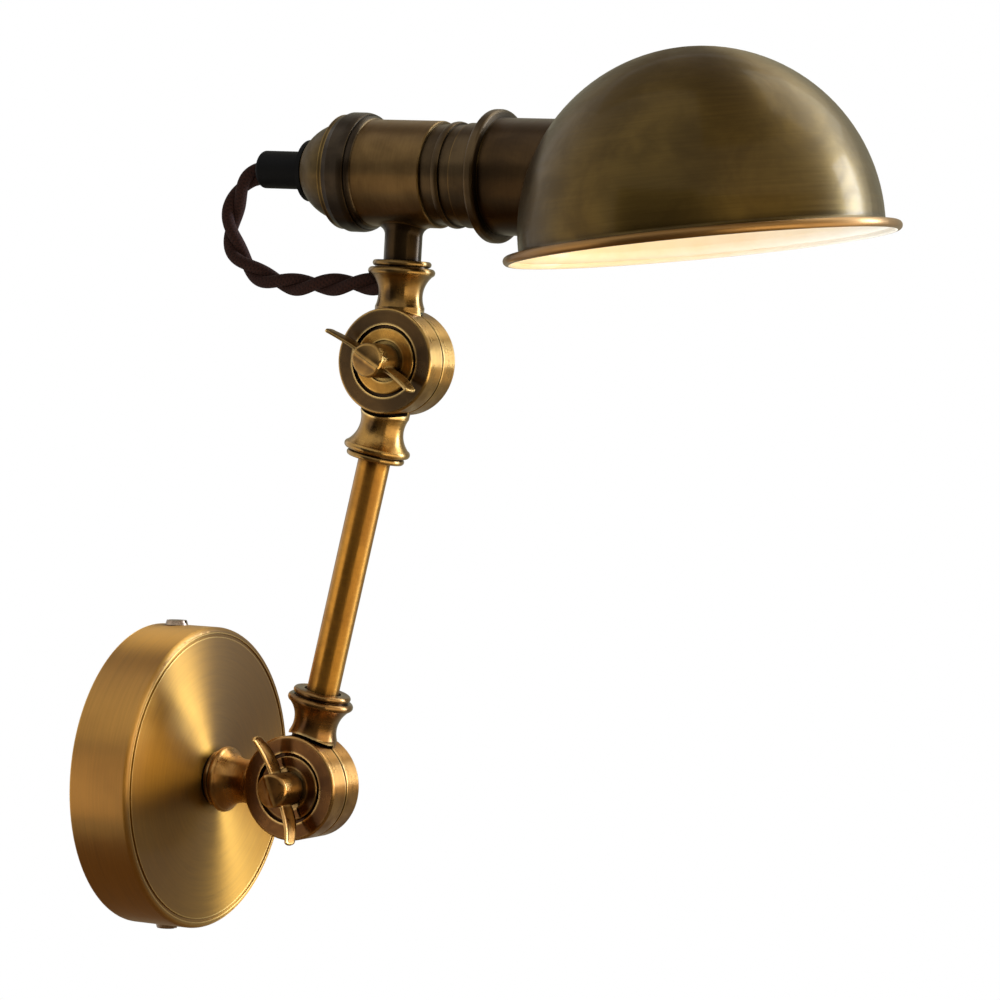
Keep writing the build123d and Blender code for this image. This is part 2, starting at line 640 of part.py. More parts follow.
# Arm tube, seated in the two necks
tube_start = NECK_LENGTH - neck_seat_depth
tube_foot = Plane(origin=lower_pivot + arm_direction * tube_start, x_dir=HINGE, z_dir=arm_direction)
with BuildPart() as arm_tube:
    with BuildSketch(tube_foot):
        Circle(TUBE_RADIUS)
        Circle(TUBE_BORE_RADIUS, mode=Mode.SUBTRACT)
    extrude(amount=ARM_LENGTH - 2 * tube_start)
finish(arm_tube, "arm_tube")

# Flex cores inside the arm
lead_start = NECK_LENGTH - neck_bore_depth
lead_foot = Plane(origin=lower_pivot + arm_direction * lead_start, x_dir=HINGE, z_dir=arm_direction)
with BuildPart() as arm_leads:
    with BuildSketch(lead_foot):
        with Locations((-core_radius, 0), (core_radius, 0)):
            Circle(core_radius - THREAD_CLEARANCE)
    extrude(amount=ARM_LENGTH - 2 * lead_start)
finish(arm_leads, "arm_leads")

# Flex cores from the wall knuckle to the terminal block
lead_drop = STRAP_THICKNESS + BLOCK_DEPTH / 2
lead_back = lower_pivot.X - lead_start
with BuildPart() as wall_leads:
    for offset_y in (-core_radius, core_radius):
        with BuildLine():
            FilletPolyline(
                (lead_back, offset_y, 0),
                (lead_drop, offset_y, 0),
                (lead_drop, offset_y, block_top),
                radius=LEAD_BEND,
            )
        with BuildSketch(Plane(origin=(lead_back, offset_y, 0), z_dir=-WALL_OUT)):
            Circle(core_radius - THREAD_CLEARANCE)
        sweep()
finish(wall_leads, "wall_leads")

# Lampholder sleeve with its stem, one casting
stem_foot = HOLDER_RISE - NECK_LENGTH + NECK_MOUTH_DEPTH
stem_base = Plane(origin=holder_centre - stem_direction * stem_foot, x_dir=HINGE, z_dir=stem_direction)
spigot_length = CORD_ENTRY_DROP - CORD_HOLE_RADIUS - NECK_MOUTH_DEPTH
with BuildPart() as holder_body:
    with BuildSketch(holder_station(sleeve_tail)):
        Circle(SLEEVE_RADIUS)
    extrude(amount=SLEEVE_NOSE - sleeve_tail)
    with BuildSketch(stem_base):
        Circle(STEM_RADIUS)
    extrude(amount=stem_foot)
    saddle = holder_body.edges().filter_by(lambda edge: edge.geom_type not in (GeomType.CIRCLE, GeomType.LINE))
    fillet(saddle, STEM_FILLET)
    fillet(holder_body.faces().sort_by(holder_axis)[-1].edges(), SHADE_WALL / 2)
    with BuildSketch(stem_base):
        Circle(TUBE_RADIUS)
    extrude(amount=-spigot_length)
    with BuildSketch(stem_base.offset(-spigot_length)):
        Circle(NECK_BORE_RADIUS)
    extrude(amount=stem_foot + spigot_length, mode=Mode.SUBTRACT)
    with BuildSketch(holder_station(sleeve_tail)):
        Circle(SLEEVE_BORE_RADIUS)
    extrude(amount=SLEEVE_NOSE - sleeve_tail, mode=Mode.SUBTRACT)
    with BuildSketch(holder_station(SLEEVE_NOSE)):
        Circle(SKIRT_GROOVE_RADIUS + THREAD_CLEARANCE)
    extrude(amount=-SKIRT_SPIGOT_LENGTH, mode=Mode.SUBTRACT)
finish(holder_body, "holder_body")

# Lampholder skirt, turned with grooves and a thread for the shade rings
ring_end = SKIRT_RING_START + SKIRT_RING_WIDTH
with BuildPart() as holder_skirt:
    with BuildSketch(holder_profile):
        with BuildLine():
            Polyline(
                (SLEEVE_NOSE - SKIRT_SPIGOT_LENGTH, SLEEVE_BORE_RADIUS),
                (SLEEVE_NOSE - SKIRT_SPIGOT_LENGTH, SKIRT_GROOVE_RADIUS),
                (SKIRT_RING_START, SKIRT_GROOVE_RADIUS),
                (SKIRT_RING_START, SKIRT_LAND_RADIUS),
            )
            ThreePointArc(
                (SKIRT_RING_START, SKIRT_LAND_RADIUS),
                ((SKIRT_RING_START + ring_end) / 2, SKIRT_RING_RADIUS),
                (ring_end, SKIRT_LAND_RADIUS),
            )
            Polyline(
                (ring_end, SKIRT_LAND_RADIUS),
                (ring_end, SKIRT_GROOVE_RADIUS),
                (SKIRT_LAND_START, SKIRT_GROOVE_RADIUS),
                (SKIRT_LAND_START, SKIRT_LAND_RADIUS),
                (SKIRT_THREAD_START, SKIRT_LAND_RADIUS),
                (SKIRT_THREAD_START, SKIRT_THREAD_RADIUS),
                (SKIRT_NOSE, SKIRT_THREAD_RADIUS),
                (SKIRT_NOSE, SLEEVE_BORE_RADIUS),
                (SLEEVE_NOSE - SKIRT_SPIGOT_LENGTH, SLEEVE_BORE_RADIUS),
            )
        make_face()
    revolve(axis=holder_axis)
finish(holder_skirt, "holder_skirt")

# Tail ring that holds the cap on the sleeve
with BuildPart() as tail_ring:
    with BuildSketch(holder_profile):
        with BuildLine():
            Polyline(
                (tail_ring_front, SLEEVE_RADIUS + THREAD_CLEARANCE),
                (sleeve_tail, SLEEVE_RADIUS + THREAD_CLEARANCE),
                (sleeve_tail, SLEEVE_BORE_RADIUS),
                (tail_ring_back, SLEEVE_BORE_RADIUS),
                (tail_ring_back, CAP_RIM_RADIUS),
                (tail_ring_back + TAIL_RING_ROUND, TAIL_RING_RADIUS),
                (tail_ring_front - 2 * TAIL_RING_ROUND, TAIL_RING_RADIUS),
            )
            SagittaArc(
                (tail_ring_front - 2 * TAIL_RING_ROUND, TAIL_RING_RADIUS),
                (tail_ring_front - TAIL_RING_ROUND, TAIL_RING_RADIUS - TAIL_RING_ROUND / 4),
                TAIL_RING_ROUND / 20,
            )
            Polyline(
                (tail_ring_front - TAIL_RING_ROUND, TAIL_RING_RADIUS - TAIL_RING_ROUND / 4),
                (tail_ring_front - TAIL_RING_ROUND, TAIL_RING_RADIUS - TAIL_RING_ROUND / 2),
                (tail_ring_front - 3 * TAIL_RING_ROUND / 4, TAIL_RING_RADIUS - TAIL_RING_ROUND / 2),
            )
            SagittaArc(
                (tail_ring_front - 3 * TAIL_RING_ROUND / 4, TAIL_RING_RADIUS - TAIL_RING_ROUND / 2),
                (tail_ring_front, SLEEVE_RADIUS + THREAD_CLEARANCE),
                TAIL_RING_ROUND / 8,
            )
        make_face()
    revolve(axis=holder_axis)
finish(tail_ring, "tail_ring")

# Stepped cap at the lampholder's tail
cap_rim_end = tail_ring_back - CAP_RIM_WIDTH
cap_bore = GRIP_THREAD_RADIUS + THREAD_CLEARANCE
with BuildPart() as tail_cap:
    with BuildSketch(holder_profile):
        with BuildLine():
            Polyline(
                (tail_ring_back, CAP_RIM_RADIUS),
                (cap_rim_end, CAP_RIM_RADIUS),
                (cap_rim_end, CAP_DOME_RADIUS),
            )
            ThreePointArc(
                (cap_rim_end, CAP_DOME_RADIUS),
                (cap_middle, CAP_MIDDLE_RADIUS),
                (cap_back, CAP_BACK_RADIUS),
            )
            Polyline(
                (cap_back, CAP_BACK_RADIUS),
                (cap_back, cap_bore),
                (cap_back + CAP_WALL, cap_bore),
                (cap_back + CAP_WALL, CAP_BACK_RADIUS - CAP_WALL / 2),
                (cap_middle + CAP_WALL / 2, CAP_MIDDLE_RADIUS - CAP_WALL),
                (cap_rim_end, CAP_DOME_RADIUS - CAP_WALL),
                (tail_ring_back, CAP_DOME_RADIUS - CAP_WALL),
                (tail_ring_back, CAP_RIM_RADIUS),
            )
        make_face()
    revolve(axis=holder_axis)
finish(tail_cap, "tail_cap")

# Black disc and cord grip behind the cap
grip_seat = cap_back - GRIP_DISC_THICKNESS
with BuildPart() as grip_disc:
    with BuildSketch(holder_station(cap_back, -1)):
        Circle(GRIP_DISC_RADIUS)
        Circle(cap_bore, mode=Mode.SUBTRACT)
    extrude(amount=GRIP_DISC_THICKNESS)
finish(grip_disc, "grip_disc")

with BuildPart() as cord_grip:
    with BuildSketch(holder_station(grip_back)):
        Circle(GRIP_RADIUS)
    extrude(amount=grip_seat - grip_back)
    fillet(cord_grip.faces().sort_by(holder_axis)[0].edges(), GRIP_ROUND)
    with BuildSketch(holder_station(grip_seat)):
        Circle(GRIP_THREAD_RADIUS)
    extrude(amount=GRIP_DISC_THICKNESS + 2 * CAP_WALL)
    with BuildSketch(holder_station(grip_back)):
        Circle(GRIP_BORE_RADIUS)
    extrude(amount=cap_back + 2 * CAP_WALL - grip_back, mode=Mode.SUBTRACT)
finish(cord_grip, "cord_grip")

# Porcelain insert with its screw shell and centre contact
insert_radius = SLEEVE_BORE_RADIUS - RUNNING_CLEARANCE
with BuildPart() as lampholder_insert:
    with BuildSketch(holder_station(insert_tail)):
        Circle(insert_radius)
    extrude(amount=INSERT_NOSE - insert_tail)
    with BuildSketch(holder_station(INSERT_NOSE)):
        Circle(INSERT_BORE_RADIUS)
    extrude(amount=INSERT_FLOOR - INSERT_NOSE, mode=Mode.SUBTRACT)
finish(lampholder_insert, "lampholder_insert")

shell_radius = INSERT_BORE_RADIUS - THREAD_CLEARANCE
with BuildPart() as screw_shell:
    with BuildSketch(holder_station(INSERT_FLOOR)):
        Circle(shell_radius)
        Circle(shell_radius - SHELL_WALL, mode=Mode.SUBTRACT)
    extrude(amount=SHELL_LENGTH)
finish(screw_shell, "screw_shell")

with BuildPart() as centre_contact:
    with BuildSketch(holder_station(INSERT_FLOOR)):
        Circle(CONTACT_RADIUS)
    extrude(amount=CONTACT_THICKNESS)
finish(centre_contact, "centre_contact")

# Flex cores from the insert's terminals to the free loop
lead_reach = GRIP_ROUTE[0][0]
with BuildPart() as holder_leads:
    with BuildSketch(holder_station(insert_tail, -1)):
        with Locations((-core_radius, 0), (core_radius, 0)):
            Circle(core_radius - THREAD_CLEARANCE)
    extrude(amount=insert_tail - lead_reach)
finish(holder_leads, "holder_leads")

# Free loop of flex from the grip to the head's neck
route = [holder_centre + holder_direction * along + stem_direction * up for along, up in GRIP_ROUTE]
route += [neck_mouth + holder_direction * along + stem_direction * up for along, up in NECK_ROUTE]
runs = [end - start for start, end in zip(route, route[1:])]
arc_radii = []
for before, after in zip(runs, runs[1:]):
    turn = radians(before.get_angle(after))
    arc_radii.append(CORD_ARC_SHARE * min(before.length, after.length) / tan(turn / 2))
with BuildPart() as flex_cord:
    with BuildLine() as loop:
        FilletPolyline(*route, radius=arc_radii)
    with BuildSketch(Plane(origin=route[0], z_dir=runs[0])):
        Circle(CORD_DIAMETER / 2)
    sweep()
finish(flex_cord, "flex_cord")
loop_length = sum(edge.length for edge in loop.edges())
tube_volume = pi * CORD_DIAMETER**2 / 4 * loop_length
print("flex arc radii", [round(radius, 1) for radius in arc_radii])
print("flex length", round(loop_length, 1), "volume share", round(flex_cord.part.volume / tube_volume, 4))

# Shade ring on the skirt's thread, behind the shade, and the clamp ring in front of its flange
ring_bore = SKIRT_THREAD_RADIUS + RUNNING_CLEARANCE
ring_front = SHADE_RING_START + SHADE_RING_WIDTH
flange_start = ring_front + FACE_GAP
clamp_start = flange_start + SHADE_FLANGE_WIDTH + FACE_GAP
with BuildPart() as shade_ring:
    with BuildSketch(holder_station(SHADE_RING_START)):
        Circle(SHADE_RING_RADIUS)
    extrude(amount=SHADE_RING_WIDTH)
    fillet(shade_ring.edges().filter_by(GeomType.CIRCLE), SHADE_RING_ROUND)
    with BuildSketch(holder_station(SHADE_RING_START)):
        Circle(ring_bore)
    extrude(amount=SHADE_RING_WIDTH, mode=Mode.SUBTRACT)
finish(shade_ring, "shade_ring")

with BuildPart() as clamp_ring:
    with BuildSketch(holder_station(clamp_start)):
        Circle(CLAMP_RING_RADIUS)
        Circle(ring_bore, mode=Mode.SUBTRACT)
    extrude(amount=CLAMP_RING_WIDTH)
finish(clamp_ring, "clamp_ring")

# Shade neck, a tube with an inward flange, trimmed to the dome's inside
neck_length = SHADE_REACH - flange_start
with BuildPart() as shade_neck:
    with BuildSketch(holder_station(flange_start)):
        Circle(SHADE_NECK_RADIUS)
    extrude(amount=neck_length)
    with BuildSketch(holder_station(flange_start + SHADE_FLANGE_WIDTH)):
        Circle(SHADE_NECK_RADIUS - SHADE_WALL)
    extrude(amount=neck_length, mode=Mode.SUBTRACT)
    with BuildSketch(holder_station(flange_start)):
        Circle(SKIRT_THREAD_RADIUS + ASSEMBLY_CLEARANCE)
    extrude(amount=SHADE_FLANGE_WIDTH, mode=Mode.SUBTRACT)
    with Locations(dome_centre):
        Sphere(DOME_RADIUS - SHADE_WALL, mode=Mode.SUBTRACT)
finish(shade_neck, "shade_neck")

# Shade dome: a hemisphere of sheet, its skirt flared into a curled rim
dome_inner = DOME_RADIUS - SHADE_WALL
curl_circle = DOME_RADIUS + CURL_OVERHANG
curl_inner = curl_circle - CURL_RADIUS
curl_top = 2 * CURL_RADIUS
cove_top = curl_top + CURL_COVE_RADIUS
with BuildPart() as shade_dome:
    with BuildSketch(shade_profile):
        with BuildLine():
            RadiusArc((0, DOME_SKIRT + DOME_RADIUS), (DOME_RADIUS, DOME_SKIRT), DOME_RADIUS)
            skirt = Line((DOME_RADIUS, DOME_SKIRT), (DOME_RADIUS, cove_top))
            TangentArc(skirt @ 1, (DOME_RADIUS + CURL_COVE_RADIUS, curl_top), tangent=skirt % 1)
            Polyline(
                (DOME_RADIUS + CURL_COVE_RADIUS, curl_top),
                (curl_circle, curl_top),
                (curl_inner, CURL_RADIUS),
            )
            TangentArc((curl_inner, CURL_RADIUS), (dome_inner, cove_top), tangent=(-1, 0))
            Line((dome_inner, cove_top), (dome_inner, DOME_SKIRT))
            RadiusArc((dome_inner, DOME_SKIRT), (0, DOME_SKIRT + dome_inner), -dome_inner)
            Line((0, DOME_SKIRT + dome_inner), (0, DOME_SKIRT + DOME_RADIUS))
        make_face()
        with Locations((curl_circle, CURL_RADIUS)):
            Circle(CURL_RADIUS)
    revolve(axis=shade_axis)
    with BuildSketch(holder_station(flange_start)):
        Circle(SHADE_NECK_RADIUS + THREAD_CLEARANCE)
    extrude(amount=neck_length, mode=Mode.SUBTRACT)
finish(shade_dome, "shade_dome")

# Lamp: screw cap and glass globe
lamp_tip = INSERT_FLOOR + CONTACT_THICKNESS + ASSEMBLY_CLEARANCE
cap_front = lamp_tip + LAMP_CAP_LENGTH
tip_slope = LAMP_CAP_RADIUS - LAMP_TIP_RADIUS
globe_place = lamp_tip + LAMP_LENGTH - LAMP_GLOBE_RADIUS
with BuildPart() as lamp_cap:
    with BuildSketch(holder_profile):
        with BuildLine():
            Polyline(
                (lamp_tip, 0),
                (lamp_tip, LAMP_TIP_RADIUS),
                (lamp_tip + tip_slope / 2, LAMP_CAP_RADIUS),
                (cap_front, LAMP_CAP_RADIUS),
                (cap_front, LAMP_CAP_RADIUS - LAMP_CAP_WALL),
                (lamp_tip + tip_slope, LAMP_CAP_RADIUS - LAMP_CAP_WALL),
                (lamp_tip + tip_slope, 0),
                close=True,
            )
        make_face()
    revolve(axis=holder_axis)
finish(lamp_cap, "lamp_cap")

with BuildPart() as lamp_globe:
    with Locations(holder_centre + holder_direction * globe_place):
        Sphere(LAMP_GLOBE_RADIUS)
    with BuildSketch(holder_station(cap_front - LAMP_CAP_WALL)):
        Circle(LAMP_NECK_RADIUS)
    extrude(amount=globe_place - cap_front)
    with Locations(holder_centre + holder_direction * globe_place):
        Sphere(LAMP_GLOBE_RADIUS - LAMP_GLASS_WALL, mode=Mode.SUBTRACT)
    with BuildSketch(holder_station(cap_front - LAMP_CAP_WALL)):
        Circle(LAMP_NECK_RADIUS - LAMP_GLASS_WALL)
    extrude(amount=globe_place - cap_front, mode=Mode.SUBTRACT)
finish(lamp_globe, "lamp_globe")
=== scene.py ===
import logging
import math
from dataclasses import dataclass, replace
from enum import Enum
from typing import Any, Sequence

import bpy
import numpy as np
from mathutils import Matrix, Vector


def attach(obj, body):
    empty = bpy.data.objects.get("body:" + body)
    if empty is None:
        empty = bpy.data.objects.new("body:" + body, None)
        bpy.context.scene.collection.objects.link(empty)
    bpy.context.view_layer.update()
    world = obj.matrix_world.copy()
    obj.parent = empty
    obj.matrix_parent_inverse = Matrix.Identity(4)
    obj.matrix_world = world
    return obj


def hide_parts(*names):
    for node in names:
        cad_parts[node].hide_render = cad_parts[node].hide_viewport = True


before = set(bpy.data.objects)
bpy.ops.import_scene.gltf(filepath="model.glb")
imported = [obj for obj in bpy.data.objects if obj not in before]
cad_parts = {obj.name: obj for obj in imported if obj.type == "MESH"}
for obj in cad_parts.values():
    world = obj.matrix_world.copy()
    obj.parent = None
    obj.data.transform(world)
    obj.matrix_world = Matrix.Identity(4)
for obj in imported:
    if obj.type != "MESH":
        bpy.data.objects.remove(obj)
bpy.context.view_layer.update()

LOG = logging.getLogger("wall_light")
MM = 0.001
Point = tuple[float, float, float]
Pair = tuple[float, float]
Array = np.ndarray
Skin = tuple[Array, list[list[int]]]
Piece = bpy.types.Object
Material = bpy.types.Material
Tree = bpy.types.NodeTree
Node = bpy.types.Node
Socket = bpy.types.NodeSocket


class Body(str, Enum):
    """The bodies that the new pieces ride on."""

    HEAD = "head"
    LOWER_WING = "lower_wing"
    UPPER_WING = "upper_wing"


class Slot(str, Enum):
    """The record's material slots for the new pieces; nothing in this script gives them out."""

    BRASS = "aged_brass"
    FABRIC = "brown_fabric"


def linear(hex_colour: str) -> tuple[float, ...]:
    """Turn an sRGB hex colour into linear red, green, blue and alpha.

    Args:
        hex_colour: a hash and six hex digits.

    Returns:
        Four numbers, alpha 1.
    """
    parts = [int(hex_colour[i:i + 2], 16) / 255 for i in (1, 3, 5)]
    steps = [c / 12.92 if c <= 0.04045 else ((c + 0.055) / 1.055) ** 2.4 for c in parts]
    return (*steps, 1.0)


def add(tree: Tree, kind: str, links: dict[Any, Any] | None = None, **settings: Any) -> Node:
    """Add one shader node with its settings, values and links.

    Args:
        tree: the node tree.
        kind: the node's type without the ShaderNode prefix.
        links: input name or number to a value, a node (its first output) or an output socket.
        settings: the node's own properties.

    Returns:
        The new node.
    """
    node = tree.nodes.new("ShaderNode" + kind)
    for name, value in settings.items():
        setattr(node, name, value)
    for key, value in (links or {}).items():
        if isinstance(value, Node):
            value = value.outputs[0]
        if isinstance(value, Socket):
            tree.links.new(value, node.inputs[key])
        else:
            node.inputs[key].default_value = value
    return node


# a Mix node's inputs go by number: 2 and 3 are numbers, 4 and 5 vectors, 6 and 7 colours
def blend(tree: Tree, share: Any, first: Any, second: Any) -> Socket:
    """Mix two colours: share 0 gives the first, and 1 the second."""
    links = {0: share, 6: first, 7: second}
    return add(tree, "Mix", links, data_type="RGBA").outputs[2]


def ramp(
    tree: Tree, value: Any, source: Pair = (0.0, 1.0), target: Pair = (0.0, 1.0), **settings: Any
) -> Socket:
    """Carry a value from the source range to the target range, and keep it there."""
    links = {0: value, 1: source[0], 2: source[1], 3: target[0], 4: target[1]}
    return add(tree, "MapRange", links, **settings).outputs[0]


def calc(tree: Tree, operation: str, *values: Any) -> Node:
    """Add a math node with its values in order."""
    return add(tree, "Math", dict(enumerate(values)), operation=operation)


def vec(tree: Tree, operation: str, *values: Any) -> Node:
    """Add a vector math node with its values in order."""
    return add(tree, "VectorMath", dict(enumerate(values)), operation=operation)


def noise(tree: Tree, place: Any, size: float, detail: float) -> Node:
    """Add a noise whose patches have a size, in the units of the place."""
    return add(tree, "TexNoise", {"Vector": place, "Scale": 1 / size, "Detail": detail})


def off_axis(tree: Tree, local: Any) -> tuple[Node, Socket]:
    """The part of a vector that is square to Z, and that part's length."""
    flat = vec(tree, "MULTIPLY", local, (1, 1, 0))
    return flat, vec(tree, "LENGTH", flat).outputs["Value"]


def object_normal(tree: Tree) -> Node:
    """The surface's normal in object space."""
    sending = {"vector_type": "NORMAL", "convert_from": "WORLD", "convert_to": "OBJECT"}
    return add(tree, "VectorTransform", {0: add(tree, "NewGeometry").outputs["Normal"]}, **sending)


def bare_material(name: str) -> tuple[Material, Tree]:
    """Make a material with an empty node tree.

    Args:
        name: the material's name.

    Returns:
        The material and its node tree.
    """
    material = bpy.data.materials.new(name)
    material.use_nodes = True
    material.node_tree.nodes.clear()
    return material, material.node_tree


def shaded(material: Material, tree: Tree, values: dict[str, Any]) -> Material:
    """Give a bare material a principled shader with these inputs, and hand it back."""
    add(tree, "OutputMaterial", {"Surface": add(tree, "BsdfPrincipled", values)})
    return material


def in_scene(name: str, data: Any) -> Piece:
    """Make an object and link it to the scene.

    Args:
        name: the object's name.
        data: its mesh, light or camera.

    Returns:
        The object.
    """
    thing = bpy.data.objects.new(name, data)
    bpy.context.scene.collection.objects.link(thing)
    return thing


def leaning(angle: float) -> Array:
    """The direction that leans forward of upright, in the X-Z plane, by an angle in degrees."""
    turn = math.radians(angle)
    return np.array([math.sin(turn), 0.0, math.cos(turn)])


@dataclass(frozen=True)
class Layout:
    """Places and directions of the light's joints and axes, in mm and degrees, as photographed."""

    arm_lean: float = 12.2
    head_pitch: float = 1.4
    shade_turn: float = 2.3
    neck_slope: float = 8.3
    lower_pivot_out: float = 68.5
    arm_length: float = 171.6
    holder_rise: float = 72.6
    neck_length: float = 39.0
    shade_reach: float = 126.2
    shade_drop: float = 24.3
    dome_skirt: float = 6.5

    @property
    def arm(self) -> Array:
        """The arm's direction, upwards."""
        return leaning(self.arm_lean)

    @property
    def stem(self) -> Array:
        """The lampholder stem's direction, upwards."""
        return leaning(self.head_pitch)

    @property
    def holder(self) -> Array:
        """The lampholder's direction, towards the shade."""
        return leaning(self.head_pitch + 90)

    @property
    def lower_pivot(self) -> Array:
        """The lower knuckle's pivot."""
        return np.array([self.lower_pivot_out, 0.0, 0.0])

    @property
    def upper_pivot(self) -> Array:
        """The upper knuckle's pivot."""
        return self.lower_pivot + self.arm * self.arm_length

    @property
    def holder_centre(self) -> Array:
        """Where the stem's axis meets the lampholder's."""
        return self.upper_pivot + self.stem * self.holder_rise

    @property
    def neck_mouth(self) -> Array:
        """The end of the head's neck."""
        return self.upper_pivot + self.stem * self.neck_length

    @property
    def shade_up(self) -> Array:
        """The dome's axis: square to the rim."""
        return self._turned(leaning(self.head_pitch - self.neck_slope))

    @property
    def dome_centre(self) -> Array:
        """The centre of the dome's sphere."""
        end = self.holder_centre + self.holder * self.shade_reach
        return end + self._turned(-self.stem) * self.shade_drop + self.shade_up * self.dome_skirt

    def _turned(self, way: Array) -> Array:
        """A direction turned with the shade about the lampholder."""
        turn = Matrix.Rotation(math.radians(self.shade_turn), 3, Vector(self.holder))
        return np.array(turn @ Vector(way))


LAYOUT = Layout()


@dataclass(frozen=True)
class Turning:
    """An axis that a piece was turned about: its centre in the shared frame, and its direction."""

    centre: Point
    direction: Point

    def mapping(self, tree: Tree, source: Node | Socket) -> Node:
        """Bring object coordinates into the axis's own frame, in millimetres, its axis along Z.

        Args:
            tree: the node tree.
            source: object coordinates.

        Returns:
            The mapping node.
        """
        turn = Vector((0, 0, 1)).rotation_difference(Vector(self.direction)).to_euler()
        centre = [value * MM for value in self.centre]
        links = {"Vector": source, "Location": centre, "Rotation": turn, "Scale": (MM, MM, MM)}
        return add(tree, "Mapping", links, vector_type="TEXTURE")


def turning(centre: Array, direction: Array) -> Turning:
    """A turning axis from two arrays."""
    unit = direction / np.linalg.norm(direction)
    return Turning(tuple(float(v) for v in centre), tuple(float(v) for v in unit))


Axes = Sequence[Turning]


# ranges that every aged brass shares
FILM_NOISE = (0.34, 0.66)  # noise from a thick film to a thin one
FLAT_COSINES = (0.93, 0.99)  # from a leaning face to one square to the axis
EDGE_OPENNESS = (0.95, 0.55)  # from a face to a rubbed edge, which carries wear and a painted highlight
CORNER_OPENNESS = (0.86, 0.4)  # from an open face to a corner, which carries patina and painted shade
RING_NOISE = (0.25, 0.75)
RING_SHADE = (0.86, 1.14)  # from a dark ring to a bright one
RING_CHANGE = 2.5  # how much the rings change on the way round
RING_ROUGHNESS = 0.16
THICK_FILM = 0.08  # roughness that a thick film adds
THIN_FILM = 0.05  # roughness that a thin film takes away
GROOVE_STRENGTH = 0.12
GROOVE_DEPTH = 0.05  # mm


